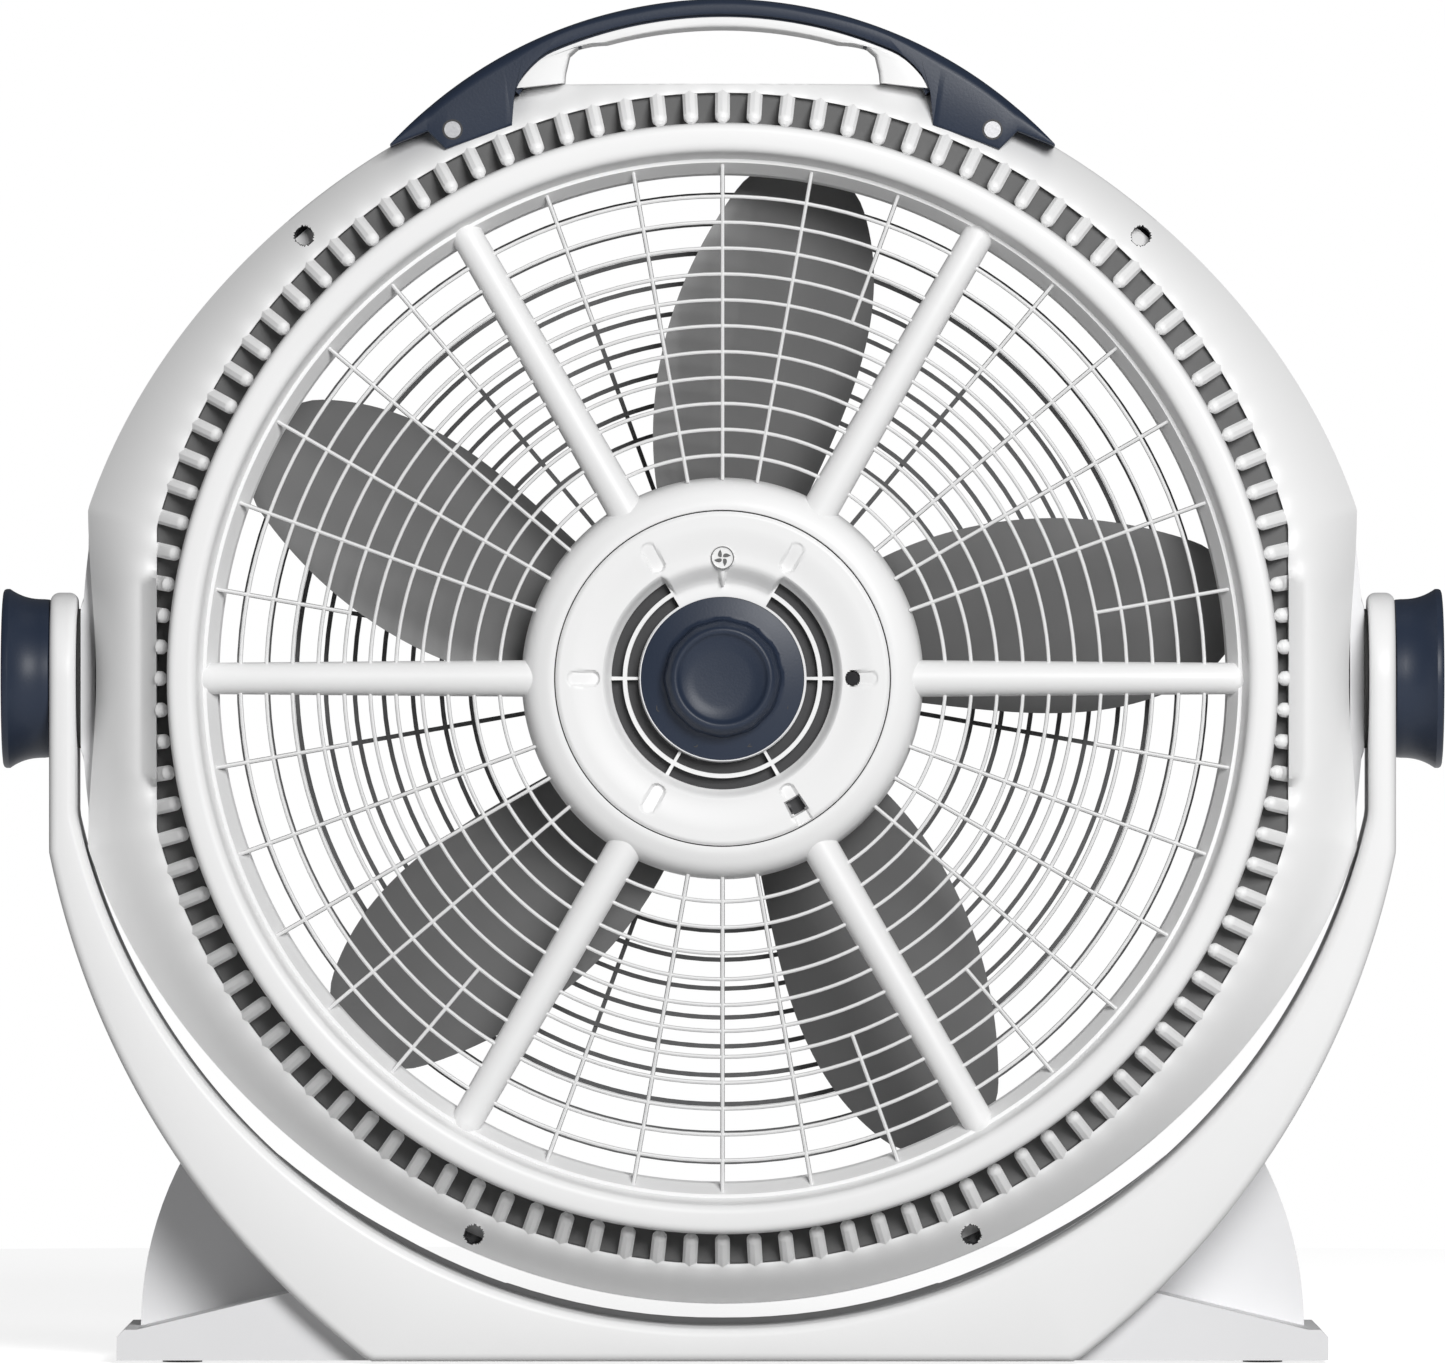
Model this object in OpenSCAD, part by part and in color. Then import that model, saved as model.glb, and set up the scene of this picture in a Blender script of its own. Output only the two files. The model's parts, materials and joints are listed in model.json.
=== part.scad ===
// Round floor fan that tilts on a U-shaped stand.
// Front faces -Y, +Z is up, the origin is on the floor under the middle of the object. Millimetres.

/* [Head] */
// Radius of the round housing
ring_r = 250.8; // [220:0.1:300]
// How far the flattened sides stand out past that radius
side_bulge = 3.7; // [2:0.1:5]
// Depth of the housing in front of the pivot plane
front_d = 59.5; // [56:0.5:72]
// Depth of the housing behind the pivot plane
back_d = 58; // [52:0.5:72]
// Wall of the moulded housing
wall = 2.5; // [2:0.1:3]
// Radial width from the housing radius to the outside of the raised front lip
shoulder_w = 29.3; // [27:0.1:32]
// Width of the raised front lip
lip_w = 10.9; // [9:0.1:13]
// Radial reach of the inside wall from the lip down to the throat
throat_step = 9.3; // [7:0.1:11]

/* [Front vents] */
// Number of vent slots around the front ring
slot_count = 112; // [60:1:120]
// Width of one vent slot
slot_w = 6.4; // [4:0.1:7]
// Radial length of one vent slot
slot_l = 11; // [8:0.5:12]

/* [Front guard] */
// Diameter of a thick spoke at the rim
spoke_d_rim = 12.5; // [9:0.1:14]
// Diameter of a thick spoke at the hub
spoke_d_hub = 14.7; // [11:0.1:16]
// Width of the thin bars and rings
bar_w = 1.6; // [1.4:0.1:2.5]
// Depth of the thin bars
bar_d = 2.8; // [2:0.1:4]
// Number of rings in the guard
guard_rings = 11; // [6:1:14]
// Distance from one guard ring to the next
ring_pitch = 10.35; // [8:0.05:10.6]
// Radius of the middle hub
hub_r = 80.4; // [78:0.1:84]
// Radius of the panel in the hub
panel_r = 66.8; // [64:0.1:70]

/* [Speed knob] */
// Radius of the knob's skirt
skirt_r = 33; // [31:0.1:34]
// Radius of the raised part of the knob
dial_r = 22.8; // [20:0.1:25]
// How far the knob stands out in front of the front lip
dial_out = 3.5; // [2:0.1:6]
// Radius of the switch shaft
switch_r = 3; // [2.5:0.1:3.5]

/* [Fan] */
// Number of blades
blades = 5; // [3:1:6]
// Gap from a blade's tip to the tunnel
tip_gap = 3.5; // [2:0.1:6]
// Pitch of the blades in degrees
blade_pitch = 28; // [20:1:32]
// Thickness of a blade
blade_t = 2.4; // [1.8:0.1:3]
// Radius of the cup that carries the blades
cup_r = 74; // [72:0.1:76]
// Radius of the motor shaft
shaft_r = 4; // [3.5:0.1:5]

/* [Motor] */
// Outside radius of the motor bells
bell_r = 54; // [52:0.5:56]
// Thickness of the stator stack
stack_t = 16; // [12:0.5:18]
// Radius of the rotor core
core_r = 27; // [24:0.5:28]
// Radius of the circle that the motor bolts stand on
bolt_circle = 47.5; // [46.5:0.1:48]

/* [Rear grille] */
// Number of rings in the rear grille
rear_rings = 9; // [5:1:12]
// Distance from one rear ring to the next
rear_pitch = 11.7; // [9:0.02:13]
// Width of the rear rings and bars
rear_w = 1.8; // [1.5:0.1:2.6]

/* [Handle] */
// Height of the handle above the housing
handle_rise = 21.2; // [19:0.1:25]
// Thickness of the coloured cover at the top
cover_t = 6.3; // [5:0.1:8]
// Thickness of the grip under the cover
grip_t = 5; // [4:0.1:6]
// Width of the finger opening
finger_w = 126; // [110:1:130]
// Depth of the handle from front to back
handle_d = 50; // [40:1:54]

/* [Stand] */
// Gap between the housing and the bottom of the stand
swing_gap = 10.5; // [8:0.5:16]
// Thickness of the stand's band at the floor
base_t = 13.2; // [11:0.1:18]
// Thickness of an arm
arm_t = 10.6; // [9:0.1:13]
// Depth of an arm from front to back
arm_d = 69; // [64:1:76]
// Overall depth of the object
overall_d = 170; // [166:1:200]
// Half of the width of the foot
foot_half = 243; // [225:1:250]
// Height of the foot's tip
foot_h = 13.3; // [11:0.1:15]
// Wall of the hollow stand
stand_wall = 3; // [2.5:0.1:4]

/* [Side knobs] */
// Width of a side knob
knob_w = 19.8; // [17:0.1:24]
// Radius of a side knob's outer flange
knob_r = 36; // [32:0.5:38]
// Radius of a side knob next to the arm
knob_neck_r = 31.7; // [28:0.1:34]
// Radius of the clamp bolt
bolt_r = 4; // [3.5:0.1:5]

/* [Hidden] */
$fn = 96;

// Fits
run_gap = 0.05;      // a shaft turning in its bore, on the radius
seat_gap = 0.15;     // a part dropped into its seat
move_gap = 0.3;      // faces that turn past each other
bolt_gap = 0.3;      // a bolt through a clearance hole

// Places along the head's own axis, forward of the pivot plane
lip_z = front_d;
dial_z = lip_z + dial_out;
part_z = 10;                     // parting plane between the front and rear mouldings
rim_z = part_z + 8;              // top of the straight rim at the parting plane
slope_z = lip_z - 22.5;          // where the outer slope meets the vent band
band_z = lip_z - 9.5;            // where the vent band meets the lip
throat_z = lip_z - 24.5;         // back edge of the inside wall
guard_z = lip_z - 12.3;          // front of the thin bars
spoke_z = lip_z - 15.5;          // axis of the thick spokes
panel_z = lip_z - 5.5;           // front of the hub panel
shelf_z = panel_z - 7.5;         // sunk floor around the knob
shelf_t = 2.4;
plate_z = lip_z - 32.5;          // front of the motor plate
plate_t = 3;
motor_z = plate_z - plate_t;     // front of the motor
bell_l = 16;                     // length of one bell
core_z = motor_z - bell_l - stack_t / 2;
motor_back_z = motor_z - 2 * bell_l - stack_t;
cup_back_z = motor_back_z - 20;

// Radii of the head
lip_out_r = ring_r - shoulder_w;
lip_in_r = lip_out_r - lip_w;
throat_r = lip_in_r - throat_step;
slope_r = ring_r - 14.3;
tunnel_r = throat_r + 5.7;
tip_r = tunnel_r - tip_gap;
side_half = ring_r + side_bulge;
shoulder_x = 45;
shoulder_r = ring_r - 30.8;

// Pivot and stand
ear_r = 31;
disc_t = 1;
ear_x = ring_r + 7;
arm_in_x = ear_x + disc_t + move_gap;
arm_out_x = arm_in_x + arm_t;
washer_t = 1.2;
pivot_h = ring_r + swing_gap + base_t;
pivot_y = -overall_d / 2 + dial_z;
yoke_in_r = ring_r + swing_gap + 1.3;
yoke_in_x = 2.6;
yoke_in_z = 2.3;
yoke_out_r = arm_out_x + 70.3;
yoke_out_x = 63.6;
yoke_out_z = -2.3;
arm_front = pivot_y - arm_d / 2;
arm_back = arm_front + arm_d;
foot_front = arm_front + 15;
foot_back = overall_d / 2;
wing_h = 81;
roof_drop = 34;
back_end = foot_back - 10;
pad_out = 1;
pad_t = 3;
pad_r = 8;
pad_x = foot_half - 26;
pad_y = [foot_front + 16, foot_back - 14];
nut_w = 25;
nut_t = 7;
nut_x = ear_x - 14;

// Screws
screw_r = 2;
head_r = 3.3;
head_h = 2.5;
housing_screw_a = [43.4, -43.4, 155.9, -155.9];
housing_screw_r = ring_r - 6.8;
handle_screw_x = 108;
handle_screw_z = ring_r - 31.2;
stand_screw_x = [-150, 150, -75, 75];

// Handle, measured up from the pivot
handle_top = ring_r + handle_rise;
cover_arc_r = 181.2;
grip_arc_r = 171.2;
open_arc_r = 177.8;
pad_top = ring_r - 12.8;
pad_half = 81;
handle_front = slope_z + 1.5;

module face() {
    translate([0, pivot_y, pivot_h]) rotate([90, 0, 0]) children();
}

// Clockwise angle from twelve o'clock, as seen from the front
module clock(a, r = 0) {
    rotate([0, 0, -a]) translate([0, r, 0]) children();
}

module turned(points) {
    rotate_extrude($fn = 180) polygon(points);
}

module tube(r_out, r_in, z0, z1) {
    translate([0, 0, z0]) difference() {
        cylinder(r = r_out, h = z1 - z0);
        translate([0, 0, -1]) cylinder(r = r_in, h = z1 - z0 + 2);
    }
}

module disc(r, z0, z1) {
    translate([0, 0, z0]) cylinder(r = r, h = z1 - z0);
}

module block(x, y, z) {
    translate([x[0], y[0], z[0]]) cube([x[1] - x[0], y[1] - y[0], z[1] - z[0]]);
}

// Both flattened side shoulders of the housing between two heights
module shoulders(z0, z1, r0, r1) {
    intersection() {
        for (s = [-1, 1]) translate([s * shoulder_x, 0, z0])
            cylinder(r1 = r0, r2 = r1, h = z1 - z0, $fn = 180);
        block([-side_half, side_half], [-ring_r, ring_r], [z0 - 1, z1 + 1]);
    }
}

// Solid outer form of the front half, used to cut what lies on it
module front_form(clear = 0) {
    turned([[0, part_z - 1], [ring_r + clear, part_z - 1], [ring_r + clear, rim_z],
        [slope_r + clear, slope_z],
        [lip_out_r + clear, band_z + clear], [0, band_z + clear]]);
}

module ear(z_sign) {
    depth = ear_r + 1;
    z = z_sign > 0 ? [part_z, depth] : [-depth, part_z];
    for (s = [-1, 1]) intersection() {
        rotate([0, s * 90, 0]) disc(ear_r, ring_r - 12, ear_x);
        block([-ear_x, ear_x], [-ear_r, ear_r], z);
    }
}

// Bore for the clamp bolt and pocket for its nut, on both sides
module pivot_cut() {
    for (s = [-1, 1]) {
        rotate([0, s * 90, 0]) disc(bolt_r + bolt_gap, ring_r - 20, ear_x + 5);
        translate([s * nut_x, 0, 0]) cube([nut_t + 2 * seat_gap, nut_w + 2 * seat_gap,
            nut_w + 2 * seat_gap],
            center = true);
    }
}

// Cut and floor of the flat seat for the hand at the top
module hand_cut(z) {
    block([-pad_half, pad_half], [pad_top, handle_top + 5], z);
}

module hand_floor(z) {
    block([-pad_half - wall, pad_half + wall], [pad_top - wall, pad_top], z);
}

module front_shroud() color([0.94, 0.94, 0.94]) face() {
    difference() {
        union() {
            difference() {
                turned([[throat_r, throat_z], [lip_in_r - 2, band_z], [lip_in_r, lip_z - 2.5],
                    [lip_in_r + 2.5, lip_z],
                    [lip_out_r - 2.5, lip_z], [lip_out_r, lip_z - 2.5], [lip_out_r + 0.5, band_z],
                    [slope_r - 2.5, slope_z + 1], [slope_r, slope_z], [ring_r, rim_z], [ring_r, part_z],
                    [ring_r - wall, part_z], [ring_r - wall, rim_z - 0.6], [slope_r - 2, slope_z - 2],
                    [lip_out_r - 1.6, band_z - 2.5], [lip_out_r - 2.2, lip_z - 3.4],
                        [lip_in_r + 3, lip_z - 2.6],
                    [lip_in_r + 2.4, lip_z - 3.4], [lip_in_r + 0.4, band_z - 0.7],
                        [throat_r + 2.6, throat_z]]);
                for (i = [0 : slot_count - 1]) clock((i + 0.5) * 360 / slot_count)
                    block([-slot_w / 2, slot_w / 2], [lip_out_r + 1.5, lip_out_r + 1.5 + slot_l],
                        [slope_z - 8, band_z + 5]);
            }
            difference() {
                shoulders(part_z, rim_z, shoulder_r, shoulder_r);
                disc(ring_r - 1, part_z - 1, rim_z + 1);
            }
            difference() {
                shoulders(rim_z, slope_z, shoulder_r, shoulder_r - 28.5);
                turned([[0, rim_z - 1], [ring_r - 0.5, rim_z - 1], [ring_r - 1, rim_z],
                    [slope_r - 1, slope_z - 0.5],
                    [slope_r - 1, slope_z + 1], [0, slope_z + 1]]);
            }
            intersection() {
                front_form();
                union() {
                    for (a = housing_screw_a) clock(a, housing_screw_r)
                        disc(head_r + 2.5, part_z, slope_z);
                    for (s = [-1, 1]) translate([s * handle_screw_x, handle_screw_z, 0])
                        disc(screw_r + 2.5, part_z, slope_z);
                    hand_floor([part_z, slope_z]);
                }
            }
            ear(1);
        }
        hand_cut([part_z - 1, slope_z - 2]);
        pivot_cut();
        for (a = housing_screw_a) clock(a, housing_screw_r) {
            disc(head_r + 0.5, rim_z, slope_z + 5);
            disc(screw_r, part_z - 1, rim_z + 1);
        }
        for (s = [-1, 1]) translate([s * handle_screw_x, handle_screw_z, 0]) {
            disc(screw_r, part_z + 2, slope_z);
            disc(head_r + 0.3, handle_front - 1.5, slope_z);
        }
    }
}

// Space inside the front wall that the guard drops into
module throat_space() {
    turned([[0, throat_z - 10], [throat_r - seat_gap, throat_z - 10], [throat_r - seat_gap, throat_z],
        [lip_in_r - 2 - seat_gap, band_z], [0, band_z]]);
}

module guard_bar(a, r0, r1) {
    rotate([0, 0, -a]) block([-bar_w / 2, bar_w / 2], [r0, r1], [guard_z - bar_d, guard_z]);
}

module front_guard() color([0.94, 0.94, 0.94]) face() {
    first_ring = throat_r - 8.6;
    short_bar = 71.2;
    spoke_in = hub_r - 5;
    difference() {
        union() {
            intersection() {
                throat_space();
                for (i = [0 : 5]) clock(60 * i + 30, spoke_in) translate([0, 0, spoke_z])
                    rotate([-90, 0, 0])
                    cylinder(r1 = spoke_d_hub / 2, r2 = spoke_d_rim / 2, h = lip_in_r - spoke_in,
                        $fn = 48);
            }
            for (i = [0 : 5], j = [-2 : 2])
                guard_bar(60 * i + 10 * j, abs(j) == 2 ? hub_r + short_bar : hub_r - 1, lip_in_r - 5);
            for (i = [0 : guard_rings - 1]) {
                r = first_ring - i * ring_pitch;
                tube(r + bar_w / 2, r - bar_w / 2, guard_z - bar_d + 0.3, guard_z - 0.3);
            }
            turned([[lip_in_r - 6.9, throat_z + 5], [lip_in_r - 2.9, band_z - 1.6],
                [lip_in_r - 4.9, band_z - 1.6],
                [lip_in_r - 8.9, throat_z + 5]]);
            turned([[hub_r - 2.4, motor_z - 6], [hub_r, motor_z - 6], [hub_r, spoke_z - 3],
                [hub_r - 2.4, panel_z - 7],
                [hub_r - 8, panel_z - 1.4], [panel_r + 0.4, panel_z], [panel_r + 0.4, panel_z - 5],
                [panel_r - 4, panel_z - 5], [panel_r - 4, panel_z - 7], [hub_r - 9, panel_z - 7],
                [hub_r - 5, panel_z - 10], [hub_r - 2.4, spoke_z - 4]]);
            disc(hub_r - 1, plate_z - plate_t, plate_z);
            clock(90, skirt_r + 19) disc(4.5, plate_z - 1, shelf_z - shelf_t);
        }
        for (i = [0 : 3]) clock(45 + 90 * i, bolt_circle) disc(screw_r + 0.1, plate_z - 5, plate_z + 5);
        disc(12, plate_z - 5, plate_z + 5);
        translate([0, -32, 0]) disc(4, plate_z - 5, plate_z + 5);
        clock(90, skirt_r + 19) disc(screw_r, plate_z + 5, panel_z);
    }
}

module vent_arc(r0, r1, a0, a1) {
    intersection() {
        tube(r1, r0, shelf_z - 8, panel_z + 2);
        rotate([0, 0, -a0]) block([0, 90], [0, 90], [shelf_z - 8, panel_z + 2]);
        rotate([0, 0, 90 - a1]) block([0, 90], [0, 90], [shelf_z - 8, panel_z + 2]);
    }
}

module hub_panel() color([0.92, 0.92, 0.92]) face() {
    difference() {
        union() {
            turned([[switch_r + 1.7, shelf_z - shelf_t], [skirt_r + 13, shelf_z - shelf_t],
                [panel_r - 15, panel_z - 4], [panel_r, panel_z - 4], [panel_r, panel_z - 0.4],
                [panel_r - 4, panel_z], [panel_r - 16, panel_z - 1.4], [skirt_r + 12, shelf_z + 0.4],
                [skirt_r, shelf_z], [switch_r + 1.7, shelf_z]]);
            clock(0, skirt_r + 15.2) disc(4.8, panel_z - 4, panel_z);
            clock(90, skirt_r + 19) disc(4.5, shelf_z - shelf_t, panel_z - 3);
        }
        for (i = [0 : 5]) clock(30 + 60 * i) block([-2.8, 2.8], [skirt_r + 17.5, panel_r - 5],
            [panel_z - 2.6, panel_z + 2]);
        clock(90, skirt_r + 19) {
            disc(screw_r + bolt_gap, shelf_z - shelf_t - 1, panel_z + 1);
            disc(screw_r + 0.9, panel_z - 3, panel_z + 1);
        }
        clock(150, panel_r - 8) block([-3.5, 3.5], [-3.5, 3.5], [panel_z - 6, panel_z + 1]);
        for (r = [skirt_r + 0.6, skirt_r + 6.9]) {
            vent_arc(r, r + 4.5, 31, 89);
            vent_arc(r, r + 4.5, 91, 149);
            vent_arc(r, r + 4.5, 151, 209);
            vent_arc(r, r + 4.5, 211, 269);
            vent_arc(r, r + 4.5, 271, 329);
        }
    }
}

module panel_screw() color([0.25, 0.25, 0.27]) face() clock(90, skirt_r + 19) {
    disc(screw_r - 0.05, panel_z - 12, panel_z - 3);
    disc(screw_r + 0.6, panel_z - 3, panel_z - 1.6);
}

module rear_housing() color([0.9, 0.9, 0.91]) face() {
    out_z = -back_d + 10;
    difference() {
        union() {
            turned([[ring_r, part_z], [ring_r, -6], [ring_r - 21, out_z], [ring_r - 28, -back_d + 1.5],
                [ring_r - 30, -back_d], [tunnel_r - 1.5, -back_d], [tunnel_r - 1.5, -back_d + 4],
                    [tunnel_r, -back_d + 4],
                [tunnel_r, throat_z - 3], [tunnel_r + wall, throat_z - 3],
                    [tunnel_r + wall, -back_d + wall],
                [ring_r - 30, -back_d + wall], [ring_r - 23, out_z + 1], [ring_r - wall, -5.4],
                    [ring_r - wall, part_z]]);
            difference() {
                shoulders(out_z, -6, shoulder_r - 28, shoulder_r);
                turned([[0, out_z - 1], [ring_r - 21.8, out_z - 1], [ring_r - 21.2, out_z],
                    [ring_r - 1, -6],
                    [ring_r - 1, 0], [0, 0]]);
            }
            difference() {
                shoulders(-6, part_z, shoulder_r, shoulder_r);
                disc(ring_r - 1, -7, part_z + 1);
            }
            intersection() {
                turned([[0, part_z], [ring_r, part_z], [ring_r, -6], [ring_r - 21, out_z], [0, out_z]]);
                union() {
                    for (a = housing_screw_a) clock(a, housing_screw_r - 1)
                        disc(head_r + 2, -back_d, part_z);
                    hand_floor([-back_d, part_z]);
                }
            }
            ear(-1);
        }
        hand_cut([-back_d - 1, part_z + 1]);
        pivot_cut();
        for (a = housing_screw_a) clock(a, housing_screw_r) disc(screw_r, -9, part_z + 1);
        clock(200, tunnel_r + 11) disc(5, -back_d - 1, -back_d + 6);
        for (i = [0 : 5]) clock(60 * i + 30, tunnel_r + 6)
            disc(screw_r - 0.4, -back_d - 1, -back_d + 8);
    }
}

module rear_grille() color([0.28, 0.28, 0.29]) face() {
    first_ring = tunnel_r - 11.2;
    difference() {
        union() {
            tube(tunnel_r + 10.5, tunnel_r - 2.9, -back_d - 2, -back_d);
            tube(tunnel_r - 1.5 - seat_gap, tunnel_r - 2.9, -back_d - 2, -back_d + 3);
            for (i = [0 : rear_rings - 1]) {
                r = first_ring - i * rear_pitch;
                tube(r + rear_w / 2, r - rear_w / 2, -back_d - 1.7, -back_d + 1.7);
            }
            for (i = [0 : 35]) clock(10 * i)
                block([-rear_w / 2, rear_w / 2], [40, tunnel_r - 2], [-back_d - 2, -back_d + 1]);
            disc(44, -back_d - 2, -back_d + 1);
        }
        for (i = [0 : 5]) clock(60 * i + 30, tunnel_r + 6) disc(screw_r, -back_d - 3, -back_d + 2);
        clock(200, tunnel_r + 11) disc(8.5, -back_d - 3, -back_d + 2);
    }
}

module grille_screws() color("silver") face() {
    for (i = [0 : 5]) clock(60 * i + 30, tunnel_r + 6) {
        disc(screw_r - 0.4, -back_d - 2, -back_d + wall);
        disc(head_r, -back_d - 3.8, -back_d - 2);
    }
}

module cord_gland() color([0.2, 0.2, 0.2]) face() clock(200, tunnel_r + 11) difference() {
    union() {
        disc(4.9, -back_d, -back_d + 6);
        disc(7.5, -back_d - 3.5, -back_d);
    }
    disc(2.6, -back_d - 4, -back_d + 7);
}

module pivot_nut(s) color("silver") face() translate([s * nut_x, 0, 0]) rotate([0, 90, 0])
    difference() {
    translate([-nut_w / 2, -nut_w / 2, -nut_t / 2]) cube([nut_w, nut_w, nut_t]);
    translate([0, 0, -nut_t]) cylinder(r = bolt_r + run_gap, h = 2 * nut_t);
}
module left_pivot_nut() pivot_nut(-1);
module right_pivot_nut() pivot_nut(1);

module friction_disc(s) color([0.15, 0.15, 0.16]) face() rotate([0, s * 90, 0])
    tube(ear_r - 3, bolt_r + 4, ear_x, ear_x + disc_t);
module left_friction_disc() friction_disc(-1);
module right_friction_disc() friction_disc(1);

// Handle outlines, in the plane of the face
module arch(arc_r, top) {
    translate([0, top - arc_r]) circle(r = arc_r, $fn = 240);
}

module grip_outline() {
    intersection() {
        arch(grip_arc_r, handle_top - cover_t);
        polygon([[-pad_half + 1, pad_top - 4], [pad_half - 1, pad_top - 4],
            [finger_w / 2 - 9, handle_top + 4],
            [-finger_w / 2 + 9, handle_top + 4]]);
    }
}

module finger_outline() {
    intersection() {
        arch(open_arc_r, handle_top - cover_t - grip_t);
        polygon([[-finger_w / 2, pad_top - 5], [finger_w / 2, pad_top - 5],
            [finger_w / 2 - 3, handle_top],
            [-finger_w / 2 + 3, handle_top]]);
    }
}

module handle_cover() color([0.23, 0.27, 0.36]) face() difference() {
    translate([0, 0, handle_front - handle_d]) linear_extrude(handle_d) difference() {
        arch(cover_arc_r, handle_top);
        grip_outline();
        polygon([[-pad_half, 0], [-pad_half, pad_top], [pad_half, pad_top], [pad_half, 0]]);
        for (s = [-1, 1]) polygon([[s * 80, 0], [s * 80, ring_r - 28.6], [s * 111, ring_r - 39.3],
            [s * 132, ring_r - 19], [s * 260, ring_r - 19], [s * 260, 0]]);
    }
    front_form(seat_gap);
    disc(ring_r + seat_gap, handle_front - handle_d - 1, part_z);
    for (s = [-1, 1]) translate([s * handle_screw_x, handle_screw_z, 0]) {
        disc(screw_r, part_z, handle_front + 1);
        disc(head_r + 0.3, handle_front - 1.5, handle_front + 1);
    }
}

module handle_grip() color([0.95, 0.95, 0.95]) face() difference() {
    translate([0, 0, handle_front - handle_d + 1]) linear_extrude(handle_d - 2) difference() {
        intersection() {
            translate([0, -seat_gap]) grip_outline();
            translate([-100, pad_top]) square([200, 60]);
        }
        finger_outline();
    }
}

module handle_screws() color("silver") face() for (s = [-1, 1])
    translate([s * handle_screw_x, handle_screw_z, 0]) {
        disc(screw_r - 0.05, part_z + 3, handle_front - 1.5);
        disc(head_r, handle_front - 1.5, handle_front + 0.5);
    }

module housing_screws() color([0.2, 0.2, 0.2]) face() for (a = housing_screw_a)
    clock(a, housing_screw_r) {
    disc(screw_r, -8, rim_z);
    disc(head_r, rim_z, rim_z + head_h);
}

// One motor bell, mouth towards -z, back face at z = 0
module bell() {
    difference() {
        turned([[9, 0], [bell_r - 4, 0], [bell_r, -4], [bell_r, -bell_l], [bell_r - 2.5, -bell_l],
            [bell_r - 2.5, -5], [bell_r - 5, -2.5], [12, -2.5], [12, -10], [9, -10]]);
        for (i = [0 : 3]) clock(45 + 90 * i, bolt_circle) disc(screw_r + 0.1, -5, 1);
        for (i = [0 : 7]) clock(22.5 + 45 * i, 38) disc(3.5, -5, 1);
        translate([0, -32, 0]) disc(4, -5, 1);
    }
}

module motor_front_bell() color([0.62, 0.63, 0.65]) face() translate([0, 0, motor_z]) bell();
module motor_rear_bell() color([0.62, 0.63, 0.65]) face() translate([0, 0, motor_back_z])
    mirror([0, 0, 1]) bell();

module stator_core() color([0.4, 0.41, 0.43]) face() translate([0, 0, core_z]) difference() {
    tube(bell_r, core_r + 0.4, -stack_t / 2, stack_t / 2);
    for (i = [0 : 3]) clock(45 + 90 * i, bolt_circle) disc(screw_r + 0.1, -stack_t, stack_t);
}

module stator_windings() color([0.72, 0.4, 0.2]) face() translate([0, 0, core_z]) for (s = [0, 1])
    mirror([0, 0, s])
    turned([[core_r + 5, stack_t / 2], [bell_r - 12, stack_t / 2], [bell_r - 11, stack_t / 2 + 6],
        [bell_r - 14, stack_t / 2 + 9], [core_r + 8, stack_t / 2 + 9], [core_r + 5, stack_t / 2 + 6]]);

module motor_bolts() color("silver") face() for (i = [0 : 3]) clock(45 + 90 * i, bolt_circle) {
    disc(screw_r, motor_back_z - 4, plate_z);
    disc(screw_r + 1.8, plate_z, plate_z + 2.2);
}

module motor_nuts() color("silver") face() for (i = [0 : 3]) clock(45 + 90 * i, bolt_circle)
    translate([0, 0, motor_back_z - 3]) difference() {
        cylinder(r = screw_r + 2, h = 3, $fn = 6);
        translate([0, 0, -1]) cylinder(r = screw_r, h = 5);
    }

module front_bearing() color([0.75, 0.6, 0.35]) face()
    tube(9, shaft_r + run_gap, motor_z - 10, motor_z - 1);
module rear_bearing() color([0.75, 0.6, 0.35]) face()
    tube(9, shaft_r + run_gap, motor_back_z + 1, motor_back_z + 10);

module capacitor() color([0.2, 0.2, 0.22]) face()
    block([-19, 19], [-60, -42], [plate_z + 1, shelf_z - shelf_t - 2]);

module rotary_switch() color([0.16, 0.16, 0.17]) face() difference() {
    union() {
        block([-15, 15], [-15, 15], [plate_z + 2, shelf_z - shelf_t]);
        disc(switch_r + 1.6, shelf_z - shelf_t, shelf_z + 2.4);
    }
    disc(switch_r + run_gap, plate_z + 4, shelf_z + 5);
}

module switch_nut() color("silver") face() translate([0, 0, shelf_z]) difference() {
    cylinder(r = 7, h = 2, $fn = 6);
    translate([0, 0, -1]) cylinder(r = switch_r + 1.6, h = 4);
}

module motor_leads() color([0.75, 0.15, 0.12]) face() for (x = [-1.6, 1.6]) {
    translate([x, -32, 0]) disc(0.9, motor_z - 9, plate_z + 10);
    translate([x, -32, plate_z + 10]) sphere(r = 0.9, $fn = 24);
    translate([x, -32, plate_z + 10]) rotate([-90, 0, 0]) cylinder(r = 0.9, h = 17);
}

module lead_grommet() color([0.12, 0.12, 0.12]) face() translate([0, -32, 0]) difference() {
    union() {
        disc(4, motor_z - 2.5, plate_z);
        disc(5.5, plate_z, plate_z + 1.5);
    }
    for (x = [-1.6, 1.6]) translate([x, 0, 0]) disc(0.9, motor_z - 3, plate_z + 2);
}

module motor_shaft() color([0.8, 0.8, 0.82]) face() disc(shaft_r, cup_back_z - 6, motor_z - 1);

module rotor_core() color([0.45, 0.46, 0.48]) face() tube(core_r, shaft_r, core_z - stack_t / 2 - 1,
    core_z + stack_t / 2 + 1);

module thrust_washers() color([0.85, 0.8, 0.6]) face() for (s = [-1, 1])
    tube(shaft_r + 3, shaft_r + 0.02, core_z + s * (stack_t / 2 + 2) - 1,
        core_z + s * (stack_t / 2 + 2) + 1);

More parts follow.
